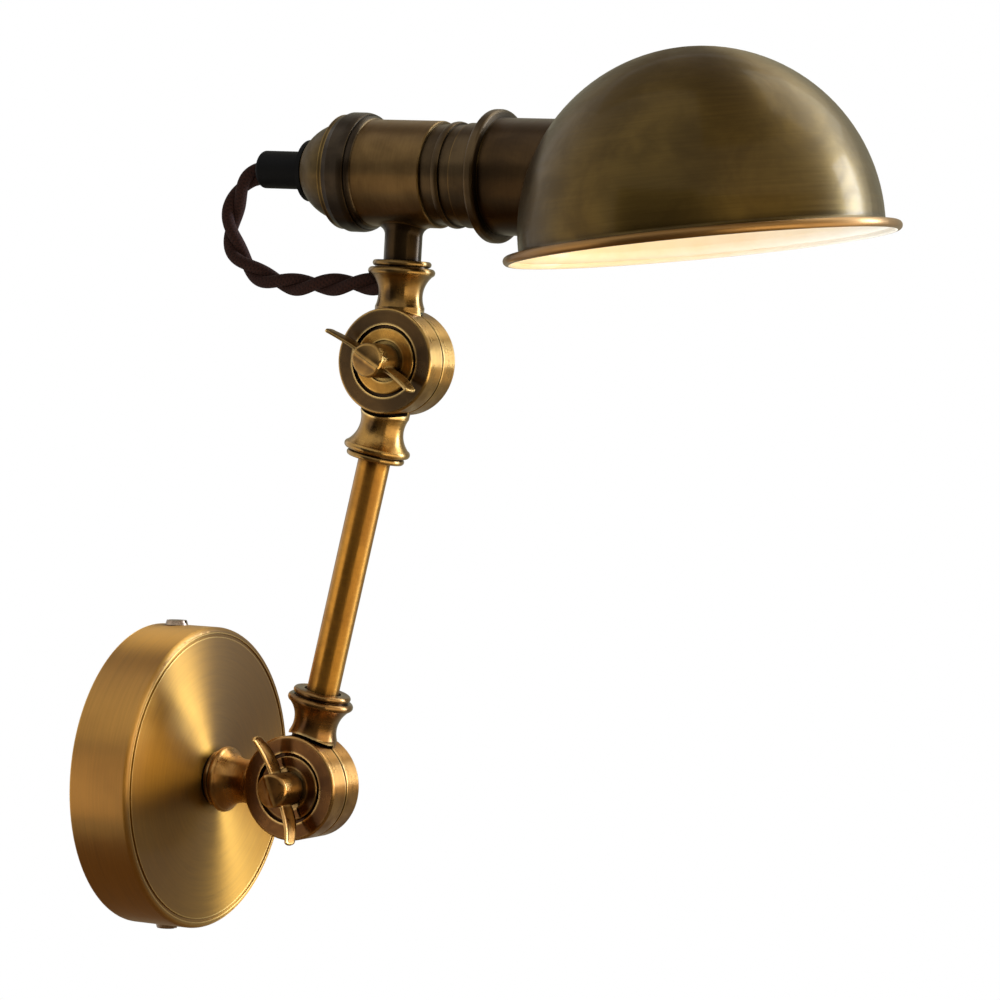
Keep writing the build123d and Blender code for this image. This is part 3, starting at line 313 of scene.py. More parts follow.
@dataclass(frozen=True)
class AgedBrass:
    """Brass that was turned and brushed, darkened in a bath, relieved on its edges and lacquered.

    The eye sees fine rings round the turning axis, a mottled brown film, a dark colour in
    recesses and between parts that is patina and painted shade, bright metal on edges that is
    wear and a painted highlight, and a thin clear coat over it all.
    """

    name: str
    wear_and_highlight: str
    body: str
    film: str
    deep: str
    roughness: float = 0.4
    brushing: float = 0.9  # mm between rings, coarser than the real 0.2 so that they show
    mottle: float = 16.0  # mm across a patch of the film
    patchy: float = 0.5  # share of the film that comes and goes with the patches
    anisotropy: float = 0.85
    coat: float = 0.06
    coat_roughness: float = 0.25
    edge: float = 0.6  # mm that the rubbed colour reaches in from an edge: wear, and a painted highlight
    corner_shade_reach: float = 5.0  # mm that the dark colour spreads out of a corner: patina, and painted shade between parts
    depth: float = 0.85  # share of the deep colour, patina and painted shade, in the darkest corners
    flats: float = 0.0  # share of the film that was left on faces square to the axis; it also paints in the dark reflection those faces show
    beyond: float = 0.0  # share of the deep colour beyond the split: patina, and painted shade on the neck or stem

    def material(self, label: str, axes: Axes, split: float = 0.0) -> Material:
        """Build the finish on one or two axes, with the piece's label in the material's name."""
        material, tree = bare_material(f"{self.name} {label}")
        return shaded(material, tree, self.values(tree, axes, split))

    def values(self, tree: Tree, axes: Axes, split: float = 0.0) -> dict[str, Any]:
        """Make the shader's inputs.

        Args:
            tree: the node tree.
            axes: the turning axis, and a second one for what lies beyond the split.
            split: the distance from the first axis, in mm, at which the second takes over.

        Returns:
            The inputs by name.
        """
        place = add(tree, "TexCoord").outputs["Object"]
        rings, across = self._brushed(tree, place, axes[0])
        first = axes[0].mapping(tree, place)
        beyond = None
        if len(axes) > 1:
            beyond = calc(tree, "GREATER_THAN", off_axis(tree, first)[1], split)
            more_rings, more_across = self._brushed(tree, place, axes[1])
            rings = add(tree, "Mix", {0: beyond, 2: rings, 3: more_rings}).outputs[0]
            both = {0: beyond, 4: across, 5: more_across}
            across = add(tree, "Mix", both, data_type="VECTOR").outputs[1]
        colour, film = self._colour(tree, first, rings, axes[0])
        # beyond the split the deep colour goes on: patina, and painted shade on the neck or stem
        if beyond is not None:
            share = calc(tree, "MULTIPLY", beyond, self.beyond)
            colour = blend(tree, share, colour, linear(self.deep))
        rough = ramp(tree, film, target=(self.roughness + THICK_FILM, self.roughness - THIN_FILM))
        ripple = calc(tree, "MULTIPLY_ADD", rings, RING_ROUGHNESS, -RING_ROUGHNESS / 2)
        rougher = add(tree, "Math", {0: rough, 1: ripple}, operation="ADD", use_clamp=True)
        grooves = {"Strength": GROOVE_STRENGTH, "Distance": GROOVE_DEPTH * MM, "Height": rings}
        return {
            "Base Color": colour,
            "Metallic": 1.0,
            "Roughness": rougher,
            "Normal": add(tree, "Bump", grooves),
            "Anisotropic": self.anisotropy,
            "Tangent": across,
            "Coat Weight": self.coat,
            "Coat Roughness": self.coat_roughness,
        }

    def _brushed(self, tree: Tree, place: Socket, axis: Turning) -> tuple[Socket, Socket]:
        """Rings about an axis, and the direction across them.

        The rings are noise over (distance from the axis, height along it) at the brushing's
        spacing, drawn out along the turn because the angle enters only as a slow cosine and sine.

        Args:
            tree: the node tree.
            place: object coordinates.
            axis: the turning axis.

        Returns:
            The rings from 0 to 1, and the tangent across them in world space.
        """
        local = axis.mapping(tree, place)
        flat, radius = off_axis(tree, local)
        around = vec(tree, "NORMALIZE", flat)
        height = add(tree, "SeparateXYZ", {0: local}).outputs["Z"]
        out = calc(tree, "MULTIPLY", radius, 1 / self.brushing)
        along = calc(tree, "MULTIPLY", height, 1 / self.brushing)
        slow = add(tree, "VectorMath", {0: around, "Scale": RING_CHANGE}, operation="SCALE")
        turn = add(tree, "SeparateXYZ", {0: slow})
        spot = add(tree, "CombineXYZ", {0: out, 1: along, 2: turn.outputs["X"]})
        links = {"Vector": spot, "W": turn.outputs["Y"], "Scale": 1.0}
        links |= {"Detail": 3.0, "Roughness": 0.6}
        rings = add(tree, "TexNoise", links, noise_dimensions="4D").outputs[0]
        arm = vec(tree, "SUBTRACT", place, [value * MM for value in axis.centre])
        circle = vec(tree, "CROSS_PRODUCT", axis.direction, arm)
        sending = {"vector_type": "VECTOR", "convert_from": "OBJECT", "convert_to": "WORLD"}
        world = add(tree, "VectorTransform", {0: circle}, **sending)
        normal = add(tree, "NewGeometry").outputs["Normal"]
        return rings, vec(tree, "CROSS_PRODUCT", world, normal).outputs[0]

    def _colour(
        self, tree: Tree, local: Node, rings: Socket, axis: Turning
    ) -> tuple[Socket, Socket]:
        """The film, edge wear and painted highlight, recess patina and painted shade, as one
        colour.

        Args:
            tree: the node tree.
            local: coordinates in the turning axis's frame, in mm.
            rings: the brushing, from 0 to 1.
            axis: the turning axis.

        Returns:
            The colour, and the film's share from 0 (thick) to 1 (thin).
        """
        patches = {"Vector": local, "Scale": 1 / self.mottle}
        patches |= {"Detail": 4.0, "Roughness": 0.55, "Distortion": 0.4}
        cloud = add(tree, "TexNoise", patches)
        film = ramp(tree, cloud, FILM_NOISE, interpolation_type="SMOOTHSTEP")
        square = vec(tree, "DOT_PRODUCT", object_normal(tree), axis.direction)
        upright = calc(tree, "ABSOLUTE", square.outputs["Value"])
        # faces square to the axis keep more film, which also paints in their dark reflection
        kept = ramp(tree, upright, FLAT_COSINES, (1.0, 1.0 - self.flats))
        clear = ramp(tree, film, target=(1.0 - self.patchy, 1.0))
        thin = calc(tree, "MULTIPLY", clear, kept)
        base = blend(tree, thin, linear(self.film), linear(self.body))
        # edges get the worn colour: wear, and a painted highlight
        within = {"Distance": self.edge * MM}
        edges = add(tree, "AmbientOcclusion", within, inside=True, only_local=True, samples=8)
        rubbed = ramp(tree, edges.outputs["AO"], EDGE_OPENNESS)
        bright = blend(tree, rubbed, base, linear(self.wear_and_highlight))
        # corners and gaps between parts get the deep colour: patina, and painted shade
        corners = add(tree, "AmbientOcclusion", {"Distance": self.corner_shade_reach * MM}, samples=8)
        painted_corner_shade = ramp(tree, corners.outputs["AO"], CORNER_OPENNESS, (0.0, self.depth))
        dark = blend(tree, painted_corner_shade, bright, linear(self.deep))
        shade = ramp(tree, rings, RING_NOISE, RING_SHADE)
        lined = {0: 1.0, 6: dark, 7: add(tree, "CombineColor", {0: shade, 1: shade, 2: shade})}
        colour = add(tree, "Mix", lined, data_type="RGBA", blend_type="MULTIPLY").outputs[2]
        return colour, film


PATCH_GRAINS = 20  # grains across a patch of a plain finish
PLAIN_NOISE = (0.12, 0.4)  # from the dark colour to the light one
PLAIN_SPREAD = 0.06  # roughness either side of the plain finish's own


@dataclass(frozen=True)
class Plain:
    """A finish with one main colour, broken up by fine grain and slow patches.

    Moulded plastics, vulcanised fibre, glazed porcelain and plated steel are all made this way.
    """

    name: str
    light: str
    dark: str
    metallic: float
    roughness: float
    grain: float  # mm across a grain
    bump: float  # mm that a grain stands out
    coat: float = 0.0
    specular: float = 0.5

    def material(self) -> Material:
        """Build the finish from two noises on object coordinates, one slow and one fine.

        Returns:
            The material.
        """
        material, tree = bare_material(self.name)
        place = add(tree, "TexCoord").outputs["Object"]
        grain = noise(tree, place, self.grain * MM, 3.0)
        slow = noise(tree, place, self.grain * PATCH_GRAINS * MM, 2.0)
        share = ramp(tree, calc(tree, "MULTIPLY", grain, slow), PLAIN_NOISE)
        spread = (self.roughness - PLAIN_SPREAD, self.roughness + PLAIN_SPREAD)
        relief = {"Strength": 0.4, "Distance": self.bump * MM, "Height": grain}
        values = {
            "Base Color": blend(tree, share, linear(self.dark), linear(self.light)),
            "Roughness": ramp(tree, grain, target=spread),
            "Normal": add(tree, "Bump", relief),
            "Metallic": self.metallic,
            "Coat Weight": self.coat,
            "Specular IOR Level": self.specular,
        }
        return shaded(material, tree, values)


# the colours of an aged brass are, in this order: rubbed edges (wear and a painted highlight),
# body, film, and deep (patina and painted shade in corners)
GOLDEN = AgedBrass("aged brass", "#DDB264", "#AC7A30", "#8C5E26", "#2A180B")
SPUN = AgedBrass(
    "spun brass", "#E4BC70", "#AC7C34", "#9A702C", "#2A180B",
    roughness=0.44, mottle=70.0, patchy=0.2, anisotropy=0.95, coat=0.36, coat_roughness=0.35,
    corner_shade_reach=3.0, depth=0.2, flats=1.0,
)
PATINA = AgedBrass(
    "patinated brass", "#E8C680", "#A47C3E", "#3A2B1A", "#24160A",
    roughness=0.3, mottle=9.0, patchy=0.25, coat=0.14, coat_roughness=0.2, edge=1.0,
    corner_shade_reach=6.0, depth=0.8, flats=0.9,
)
COPPERY = replace(
    PATINA, name="reddened brass", wear_and_highlight="#ECC682", body="#A07238", film="#472A14", deep="#241208",
    flats=0.8,
)
# these two are darker beyond the split, on their necks: patina and painted shade
PATINA_SHADED_NECK = replace(PATINA, name="patina_and_shade brass", beyond=0.4)
REDDEST = replace(COPPERY, name="patina_and_shade red brass", beyond=0.45)
RUBBED = AgedBrass(
    "rubbed brass", "#EEC878", "#B4863E", "#86602A", "#20120A",
    roughness=0.3, mottle=8.0, edge=0.9, corner_shade_reach=7.0,
)
# darker on the stem beyond the split: patina, and painted shade under the lampholder
BRONZED = AgedBrass(
    "bronzed brass", "#8E7440", "#6A5230", "#4E3A1E", "#140D07", mottle=22.0, beyond=0.8
)
SMOKED = AgedBrass("smoked brass", "#6E5632", "#50402A", "#34281A", "#100A05", mottle=18.0)
SOOTY = AgedBrass("brown brass", "#8A6C3A", "#44321C", "#2E2113", "#100A05", mottle=18.0)
DOMED = AgedBrass(
    "bronzed sheet brass", "#8E7440", "#5A4721", "#403117", "#140D07",
    roughness=0.45, mottle=22.0, patchy=0.45, anisotropy=0.7, coat=0.1, coat_roughness=0.12,
)
DARKENED = AgedBrass("blackened brass", "#5E4C32", "#3A3024", "#261E16", "#0C0806", mottle=12.0)
OLIVE = AgedBrass("olive brass", "#8C7240", "#524122", "#3E3018", "#241709", mottle=10.0)
BLACK_PLASTIC = Plain(
    "moulded black plastic", "#080808", "#030303", 0.0, 0.6, 0.4, 0.02, specular=0.1
)
DARK_FIBRE = Plain("vulcanised fibre", "#2A211A", "#16110D", 0.0, 0.7, 0.5, 0.03)
ZINC_STEEL = Plain("zinc plated steel", "#C9C6C0", "#8E8A83", 1.0, 0.34, 0.5, 0.01)
DULL_NICKEL = Plain("dulled nickel plate", "#B5A08A", "#5E4A3A", 1.0, 0.34, 0.5, 0.01)
BRIGHT_BRASS = Plain("bright brass", "#D9B565", "#B48A3E", 1.0, 0.25, 0.6, 0.01)
LAMP_METAL = Plain("nickel plated brass", "#C8C2B4", "#9A9486", 1.0, 0.3, 0.5, 0.01)
WHITE_PLASTIC = Plain("moulded white nylon", "#E6E2D8", "#CFCABD", 0.0, 0.5, 0.5, 0.01)
BROWN_COTTON = Plain(
    "lapped brown cotton", "#3A231B", "#1B0F0B", 0.0, 0.85, 0.5, 0.05, specular=0.15
)
PORCELAIN = Plain("glazed porcelain", "#EFEBE2", "#DDD7CA", 0.0, 0.18, 1.2, 0.01, coat=0.4)


BEYOND_ALL = 1000  # mm, farther than any point of the shade


@dataclass(frozen=True)
class PaintedShade:
    """The shade: brass outside, and a cream stove paint sprayed inside it.

    The paint lies on every point nearer to the dome's middle than the middle of the sheet, and
    on what faces inwards at the mouth, where the spray reached.
    """

    brass: AgedBrass
    dome: Turning
    holder: Turning
    paint: str = "#FDF9F0"
    painted_lamp_warmth: str = "#DFBC7C"  # the paint's colour near the lamp: painted warm lamp light
    sheet_middle: float = 67.4  # mm from the dome's centre
    lit_curl: str = "#8C683A"  # the curled rim, brighter: a painted highlight of the lamp's light on it
    curl_start: float = 69.4  # mm from the dome's axis
    curl_blend: float = 1.2  # mm over which the painted highlight begins
    lamp_warmth_fade: Pair = (0.16, 0.28)  # m along the lampholder over which the painted lamp light fades into the plain paint
    cloud: float = 9.0  # mm across a cloud in the paint
    cloudy: float = 0.3
    paint_roughness: float = 0.45

    def material(self) -> Material:
        """Build the finish: the paint's share comes from the distance to the dome's middle.

        Returns:
            The material.
        """
        material, tree = bare_material(f"{self.brass.name} painted shade")
        values = self.brass.values(tree, [self.dome])
        place = add(tree, "TexCoord").outputs["Object"]
        local = self.dome.mapping(tree, place)
        raised = vec(tree, "MAXIMUM", local, (-BEYOND_ALL, -BEYOND_ALL, 0))
        depth = vec(tree, "LENGTH", raised).outputs["Value"]
        within = calc(tree, "LESS_THAN", depth, self.sheet_middle)
        inside = calc(tree, "MAXIMUM", within, self._sprayed(tree, local)).outputs[0]
        cloud = noise(tree, local, self.cloud, 3.0)
        # the paint turns warmer towards the lamp: painted warm lamp light
        ahead = vec(tree, "DOT_PRODUCT", place, self.holder.direction).outputs["Value"]
        mottled = {0: cloud, 1: self.cloudy, 2: ramp(tree, ahead, self.lamp_warmth_fade)}
        plain_paint_share = add(tree, "Math", mottled, operation="MULTIPLY_ADD", use_clamp=True)
        cream = blend(tree, plain_paint_share, linear(self.painted_lamp_warmth), linear(self.paint))
        # the curled rim gets a brighter brass: a painted highlight of the lamp's light
        reached = (self.curl_start, self.curl_start + self.curl_blend)
        lit_curl_share = ramp(tree, off_axis(tree, local)[1], reached)
        brass = blend(tree, lit_curl_share, values["Base Color"], linear(self.lit_curl))
        gloss = {0: inside, 2: values["Roughness"], 3: self.paint_roughness}
        values["Base Color"] = blend(tree, inside, brass, cream)
        values["Metallic"] = ramp(tree, inside, target=(1.0, 0.0))
        values["Roughness"] = add(tree, "Mix", gloss)
        return shaded(material, tree, values)

    def _sprayed(self, tree: Tree, local: Node) -> Node:
        """One where the surface faces the dome's axis and zero elsewhere."""
        back = Turning((0.0, 0.0, 0.0), self.dome.direction).mapping(tree, object_normal(tree))
        return calc(tree, "LESS_THAN", vec(tree, "DOT_PRODUCT", back, local).outputs["Value"], 0.0)


@dataclass(frozen=True)
class OpalGlass:
    """Opal glass of a lamp that is lit: white flashed glass that glows warm all over."""

    name: str = "opal glass"
    glass: str = "#FFF4DE"
    glow: str = "#FFF0D8"
    strength: float = 0.63
    cloud: float = 6.0  # mm across a cloud in the white

    def material(self) -> Material:
        """Build the glass: a faint cloudiness in the white, and an even glow.

        Returns:
            The material.
        """
        material, tree = bare_material(self.name)
        cloud = noise(tree, add(tree, "TexCoord").outputs["Object"], self.cloud * MM, 2.0)
        values = {
            "Base Color": blend(tree, cloud, linear(self.glow), linear(self.glass)),
            "Roughness": 0.2,
            "Emission Color": linear(self.glow),
            "Emission Strength": self.strength,
        }
        return shaded(material, tree, values)


@dataclass(frozen=True)
class CottonBraid:
    """Cotton braided over a flex core: dull thread, dark in the gaps, with a faint fuzz of sheen.

    The UV map runs in millimetres along the core and once round it, so the threads are two
    families of diagonal lines on it.
    """

    name: str = "braided cotton"
    thread: str = "#3C2119"
    gap: str = "#1B0F0B"
    pitch: float = 1.4  # mm along the core per thread, twice the real one so that it shows
    starts: int = 5  # threads of one family round the core
    crests: Pair = (-0.6, 1.0)  # wave from a gap to the top of a thread
    fibre: float = 0.5  # mm across a fibre
    least: float = 0.1  # share of the thread's colour in the gaps
    relief: float = 0.15  # mm that a thread stands out

    def material(self) -> Material:
        """Build the braid from two diagonal waves on the UV map, and fibre noise.

        Returns:
            The material.
        """
        material, tree = bare_material(self.name)
        run = add(tree, "SeparateXYZ", {0: add(tree, "TexCoord").outputs["UV"]})
        waves = []
        for way in (1, -1):
            turn = calc(tree, "MULTIPLY", run.outputs["Y"], way * self.starts * math.tau)
            lean = calc(tree, "MULTIPLY_ADD", run.outputs["X"], math.tau / self.pitch, turn)
            waves.append(calc(tree, "SINE", lean))
        height = ramp(tree, calc(tree, "MAXIMUM", *waves), self.crests)
        fibre = noise(tree, add(tree, "TexCoord").outputs["Object"], self.fibre * MM, 3.0)
        share = calc(tree, "MULTIPLY_ADD", height, fibre, self.least)
        relief = {"Strength": 0.6, "Distance": self.relief * MM, "Height": share}
        values = {
            "Base Color": blend(tree, share, linear(self.gap), linear(self.thread)),
            "Normal": add(tree, "Bump", relief),
            "Roughness": 0.85,
            "Specular IOR Level": 0.15,
            "Sheen Weight": 0.12,
            "Sheen Roughness": 0.5,
            "Sheen Tint": linear(self.thread),
        }
        return shaded(material, tree, values)


def tube(rows: Array) -> Skin:
    """Join rings of points into a closed skin.

    Each ring is joined to the next by quads, and a fan to its own middle closes each end.

    Args:
        rows: rings by points by 3, each ring running anticlockwise seen from the last ring's end.

    Returns:
        The points and the faces.
    """
    count, sides = rows.shape[:2]
    ring = np.arange(count - 1)[:, None] * sides
    this = np.arange(sides)[None, :]
    after = (this + 1) % sides
    corners = [ring + this, ring + after, ring + sides + after, ring + sides + this]
    quads = np.stack(corners, -1).reshape(-1, 4)
    middles = rows[[0, -1]].mean(1)
    points = np.concatenate([rows.reshape(-1, 3), middles])
    start, end = count * sides, count * sides + 1
    last = (count - 1) * sides
    fans = [np.stack([np.full(sides, start), after[0], this[0]], -1)]
    fans.append(np.stack([np.full(sides, end), last + this[0], last + after[0]], -1))
    return points, quads.tolist() + np.concatenate(fans).tolist()


def new_piece(name: str, skins: Sequence[Skin], crease: float) -> Piece:
    """Put skins, given in millimetres, into one smooth-shaded mesh object.

    Args:
        name: the piece's name.
        skins: points and faces of each skin.
        crease: the angle in degrees above which an edge stays sharp.

    Returns:
        The object, linked to the scene.
    """
    start = 0
    faces: list[list[int]] = []
    for points, skin in skins:
        faces += [[index + start for index in face] for face in skin]
        start += len(points)
    mesh = bpy.data.meshes.new(name)
    mesh.from_pydata(np.concatenate([points for points, _ in skins]) * MM, [], faces)
    mesh.polygons.foreach_set("use_smooth", np.ones(len(faces), bool))
    mesh.set_sharp_from_angle(angle=math.radians(crease))
    mesh.update()
    return in_scene(name, mesh)


@dataclass(frozen=True)
class FlexLoop:
    """The free loop of flex from the grip to the head's neck: two braided cores, twisted."""

    core_radius: float = 2.45
    core_offset: float = 2.0  # centreline to a core's middle: they are flat where they meet
    core_gap: float = 0.03  # from the centreline to a core's flat
    half_twist: float = 17.5
    crossing: float = 91.2  # along the loop to where one core hides the other
    step: float = 0.35
    sides: int = 28
    diameter: float = 8.8
    # each point is (along the lampholder, along the stem)
    grip_route: tuple[Pair, ...] = ((-52.5, 0.0), (-67.5, -0.3), (-75.8, -8.6), (-79.6, -22.3))
    neck_route: tuple[Pair, ...] = (
        (-75.2, -1.0), (-62.5, -9.6), (-45.4, -11.6), (-25.5, -10.0), (-5.5, -9.2)
    )

    def route(self) -> Array:
        """Lay out the loop from the lampholder's centre and the neck's end.

        Returns:
            The points, mm.
        """
        starts = [(LAYOUT.holder_centre, self.grip_route), (LAYOUT.neck_mouth, self.neck_route)]
        return np.array(
            [at + LAYOUT.holder * out + LAYOUT.stem * up for at, part in starts for out, up in part]
        )

    def centreline(self) -> Array:
        """Follow the route with a NURBS spline.

        Returns:
            The points along it, in metres.
        """
        points = self.route() * MM
        curve = bpy.data.curves.new("flex_line", "CURVE")
        curve.dimensions = "3D"
        curve.resolution_u = 24
        spline = curve.splines.new("NURBS")
        spline.points.add(len(points) - 1)
        spline.points.foreach_set("co", np.c_[points, np.ones(len(points))].ravel())
        spline.order_u = 3
        spline.use_endpoint_u = True
        holder = bpy.data.objects.new("flex_line", curve)
        line = bpy.data.meshes.new_from_object(holder)
        found = np.empty(len(line.vertices) * 3)
        line.vertices.foreach_get("co", found)
        bpy.data.objects.remove(holder)
        bpy.data.curves.remove(curve)
        bpy.data.meshes.remove(line)
        return found.reshape(-1, 3)

    def core(self, line: Array, run: Array, phase: float) -> Array:
        """One core: a circle, flat towards the other core, carried along a helix.

        Args:
            line: the centreline at even steps, mm.
            run: the distance along it, mm.
            phase: the core's place round the centreline, radians.

        Returns:
            Rings by points by 3, mm.
        """
        ahead = np.gradient(line, axis=0)
        ahead /= np.linalg.norm(ahead, axis=1, keepdims=True)
        side = np.tile([0.0, 1.0, 0.0], (len(line), 1))
        over = np.cross(ahead, side)
        angle = (phase - math.pi * (run - self.crossing) / self.half_twist)[:, None]
        out = np.cos(angle) * side + np.sin(angle) * over
        middle = line + self.core_offset * out
        along = np.gradient(middle, axis=0)
        along /= np.linalg.norm(along, axis=1, keepdims=True)
        across = np.cross(along, out)
        turn = np.linspace(0, math.tau, self.sides, endpoint=False)
        outwards = np.maximum(self.core_radius * np.cos(turn), self.core_gap - self.core_offset)
        sideways = self.core_radius * np.sin(turn)
        ring = outwards[None, :, None] * out[:, None] + sideways[None, :, None] * across[:, None]
        return middle[:, None] + ring

    def build(self, finish: CottonBraid) -> Piece:
        """Build both cores as one piece that stands for the solid flex.

        Args:
            finish: the braid.

        Returns:
            The piece.
        """
        points = self.centreline()
        gone = np.r_[0, np.cumsum(np.linalg.norm(np.diff(points, axis=0), axis=1))] / MM
        run = np.linspace(0, gone[-1], int(gone[-1] / self.step))
        line = np.stack([np.interp(run, gone, points[:, axis] / MM) for axis in range(3)], -1)
        cores = [self.core(line, run, phase) for phase in (0.0, math.pi)]
        piece = new_piece("flex", [tube(core) for core in cores], crease=60)
        self._unwrap(piece, run)
        piece.data.materials.append(finish.material())
        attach(piece, Body.HEAD.value)
        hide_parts("flex_cord")
        return piece

    def _unwrap(self, piece: Piece, run: Array) -> None:
        """Lay a UV map on the cores: millimetres along by turns round.

        Args:
            piece: the two cores.
            run: the distance along the loop at each ring, mm.
        """
        mesh = piece.data
        per_core = len(run) * self.sides + 2
        corners = np.empty(len(mesh.loops), int)
        mesh.loops.foreach_get("vertex_index", corners)
        spot = np.minimum(corners % per_core, len(run) * self.sides - 1)
        place = np.stack([run[spot // self.sides], (spot % self.sides) / self.sides], -1)
        layer = mesh.uv_layers.new(name="braid")
        layer.data.foreach_set("uv", place.ravel())


WINGS_OUT = np.array([0.0, -1.0, 0.0])  # the side that the wing screws are on


@dataclass(frozen=True)
class WingScrew:
    """A thumb screw: a round boss with a roof-shaped front, and two leaf-shaped blades.

    The blades stand at the ends of the roof's ridge.
    """

    name: str
    node: str
    body: Body
    pivot: Point
    angle: float  # blades, degrees from upright
    base: float = 9.3  # washer's floor, out from the pivot
    front: float = 24.4
    boss_radius: float = 6.6
    boss_round: float = 1.0
    roof_slope: float = 0.12
    roof_crown: float = 0.02  # per mm, the roof's roundness
    rib_height: float = 0.3
    rib_width: float = 0.7
    shank_radius: float = 3.0
    shank_end: float = -10.2
    blade_root: float = 3.3
    blade_middle: float = 14.4
    blade_tip: float = 22.2
    tip_bow: float = 1.6
    # drops back from the boss's ridge, at the blade's root, middle and tip
    front_edge: Point = (4.4, 3.0, 0.0)
    back_edge: Point = (10.8, 11.4, 7.0)
    half_thickness: float = 0.95
    thinning: float = 0.3  # share of the thickness that is lost at the tip
    squareness: float = 0.55  # power of the blade's section, 1 for an ellipse
    sides: int = 160
    roof_rings: int = 16
    corner_rings: int = 6
    blade_rings: int = 24
    tip_rings: int = 12
    blade_sides: int = 32
    last_ring: float = 0.02  # share of the width left at a rounded end's last ring

    def boss(self) -> Array:
        """The shank, boss and roof: rings about the pivot.

        The roof falls with the distance from its ridge and with that distance squared, and a rib
        shaped like a bell curve runs along the ridge.

        Returns:
            Rings by points by 3, mm.
        """
        turn = np.linspace(0, math.tau, self.sides, endpoint=False)
        flat = self.boss_radius - self.boss_round
        corner = np.linspace(0, math.pi / 2, self.corner_rings)
        below = [self.shank_radius, self.shank_radius, flat, self.boss_radius]
        levels = [self.shank_end, self.base, self.base, self.base + self.boss_round]
        edge = self.boss_radius - self.boss_round * (1 - np.cos(corner))
        radius = np.r_[below, edge, np.linspace(1, self.last_ring, self.roof_rings) * flat][:, None]
        aside = np.abs(np.sin(turn))[None, :] * radius
        roofed = self.front - self.roof_slope * aside - self.roof_crown * aside**2
        roofed += self.rib_height * np.exp(-((aside / self.rib_width) ** 2))
        count = len(below)
        roofed[count:count + self.corner_rings] -= self.boss_round * (1 - np.sin(corner))[:, None]
        height = np.r_[np.array(levels)[:, None] * np.ones_like(turn), roofed[count:]]
        return self._placed(radius * np.cos(turn), radius * np.sin(turn), height)

    def blade(self, way: int) -> Array:
        """One blade: a section carried outwards between two parabolas to a half ellipse.

        The parabolas run through the edges' root, middle and tip, and the section is a
        superellipse, so that its edges are rounded.

        Args:
            way: 1 or -1, the end of the ridge it stands on.

        Returns:
            Rings by points by 3, mm.
        """
        elbow = self.blade_tip - self.tip_bow
        places = [self.blade_root, self.blade_middle, elbow]
        bend = np.sin(np.linspace(0, math.pi / 2, self.tip_rings))[1:]
        straight = np.linspace(self.blade_root, elbow, self.blade_rings)
        out = np.r_[straight, elbow + self.tip_bow * bend][:, None]
        inner = np.minimum(out, elbow)
        front, back = (
            np.polyval(np.polyfit(places, edge, 2), inner)
            for edge in (self.front_edge, self.back_edge)
        )
        close = np.sqrt(np.clip(1 - ((out - inner) / self.tip_bow) ** 2, self.last_ring**2, 1))
        half = (back - front) / 2 * close
        thick = self.half_thickness * (1 - self.thinning * (out / self.blade_tip) ** 2)
        thick = thick * np.sqrt(close)
        turn = np.linspace(0, math.tau, self.blade_sides, endpoint=False)[None, :]
        deep, wide = (
            np.sign(wave) * np.abs(wave) ** self.squareness
            for wave in (np.cos(turn), np.sin(turn))
        )
        height = self.front - (front + back) / 2 + half * deep
        return self._placed(way * out * np.ones_like(turn), thick * wide * way, height)

    def _placed(self, along: Array, aside: Array, height: Array) -> Array:
        """Set points in the shared frame.

        Args:
            along: along the ridge, mm.
            aside: beside the ridge, mm.
            height: out from the pivot, mm.

        Returns:
            The points, mm.
        """
        ridge = leaning(self.angle)
        beside = np.cross(WINGS_OUT, ridge)
        level = np.asarray(self.pivot) + along[..., None] * ridge + aside[..., None] * beside
        return level + height[..., None] * WINGS_OUT

    def build(self, finish: AgedBrass) -> Piece:
        """Build the boss and blades as one piece that stands for the screw's solid.

        Args:
            finish: the brass.

        Returns:
            The piece.
        """
        skins = [tube(self.boss()), tube(self.blade(1)), tube(self.blade(-1))]
        piece = new_piece(self.name, skins, crease=24)
        axis = turning(np.asarray(self.pivot), WINGS_OUT)
        piece.data.materials.append(finish.material(self.name, [axis]))
        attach(piece, self.body.value)
        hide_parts(self.node)
        return piece


@dataclass(frozen=True)
class Softbox:
    """A rectangular studio light. Lengths are in metres, and the power in watts."""

    name: str
    place: Point
    aim: Point
    width: float
    height: float
    power: float
    colour: str

    def build(self) -> None:
        """Hang the light and point it at its aim."""
        lamp = bpy.data.lights.new(self.name, "AREA")
        lamp.shape = "RECTANGLE"
        lamp.size, lamp.size_y, lamp.energy = self.width, self.height, self.power
        lamp.color = linear(self.colour)[:3]
        light = in_scene(self.name, lamp)
        light.location = self.place
        light.visible_camera = False
        way = Vector(self.aim) - Vector(self.place)
        light.rotation_euler = way.to_track_quat("-Z", "Y").to_euler()


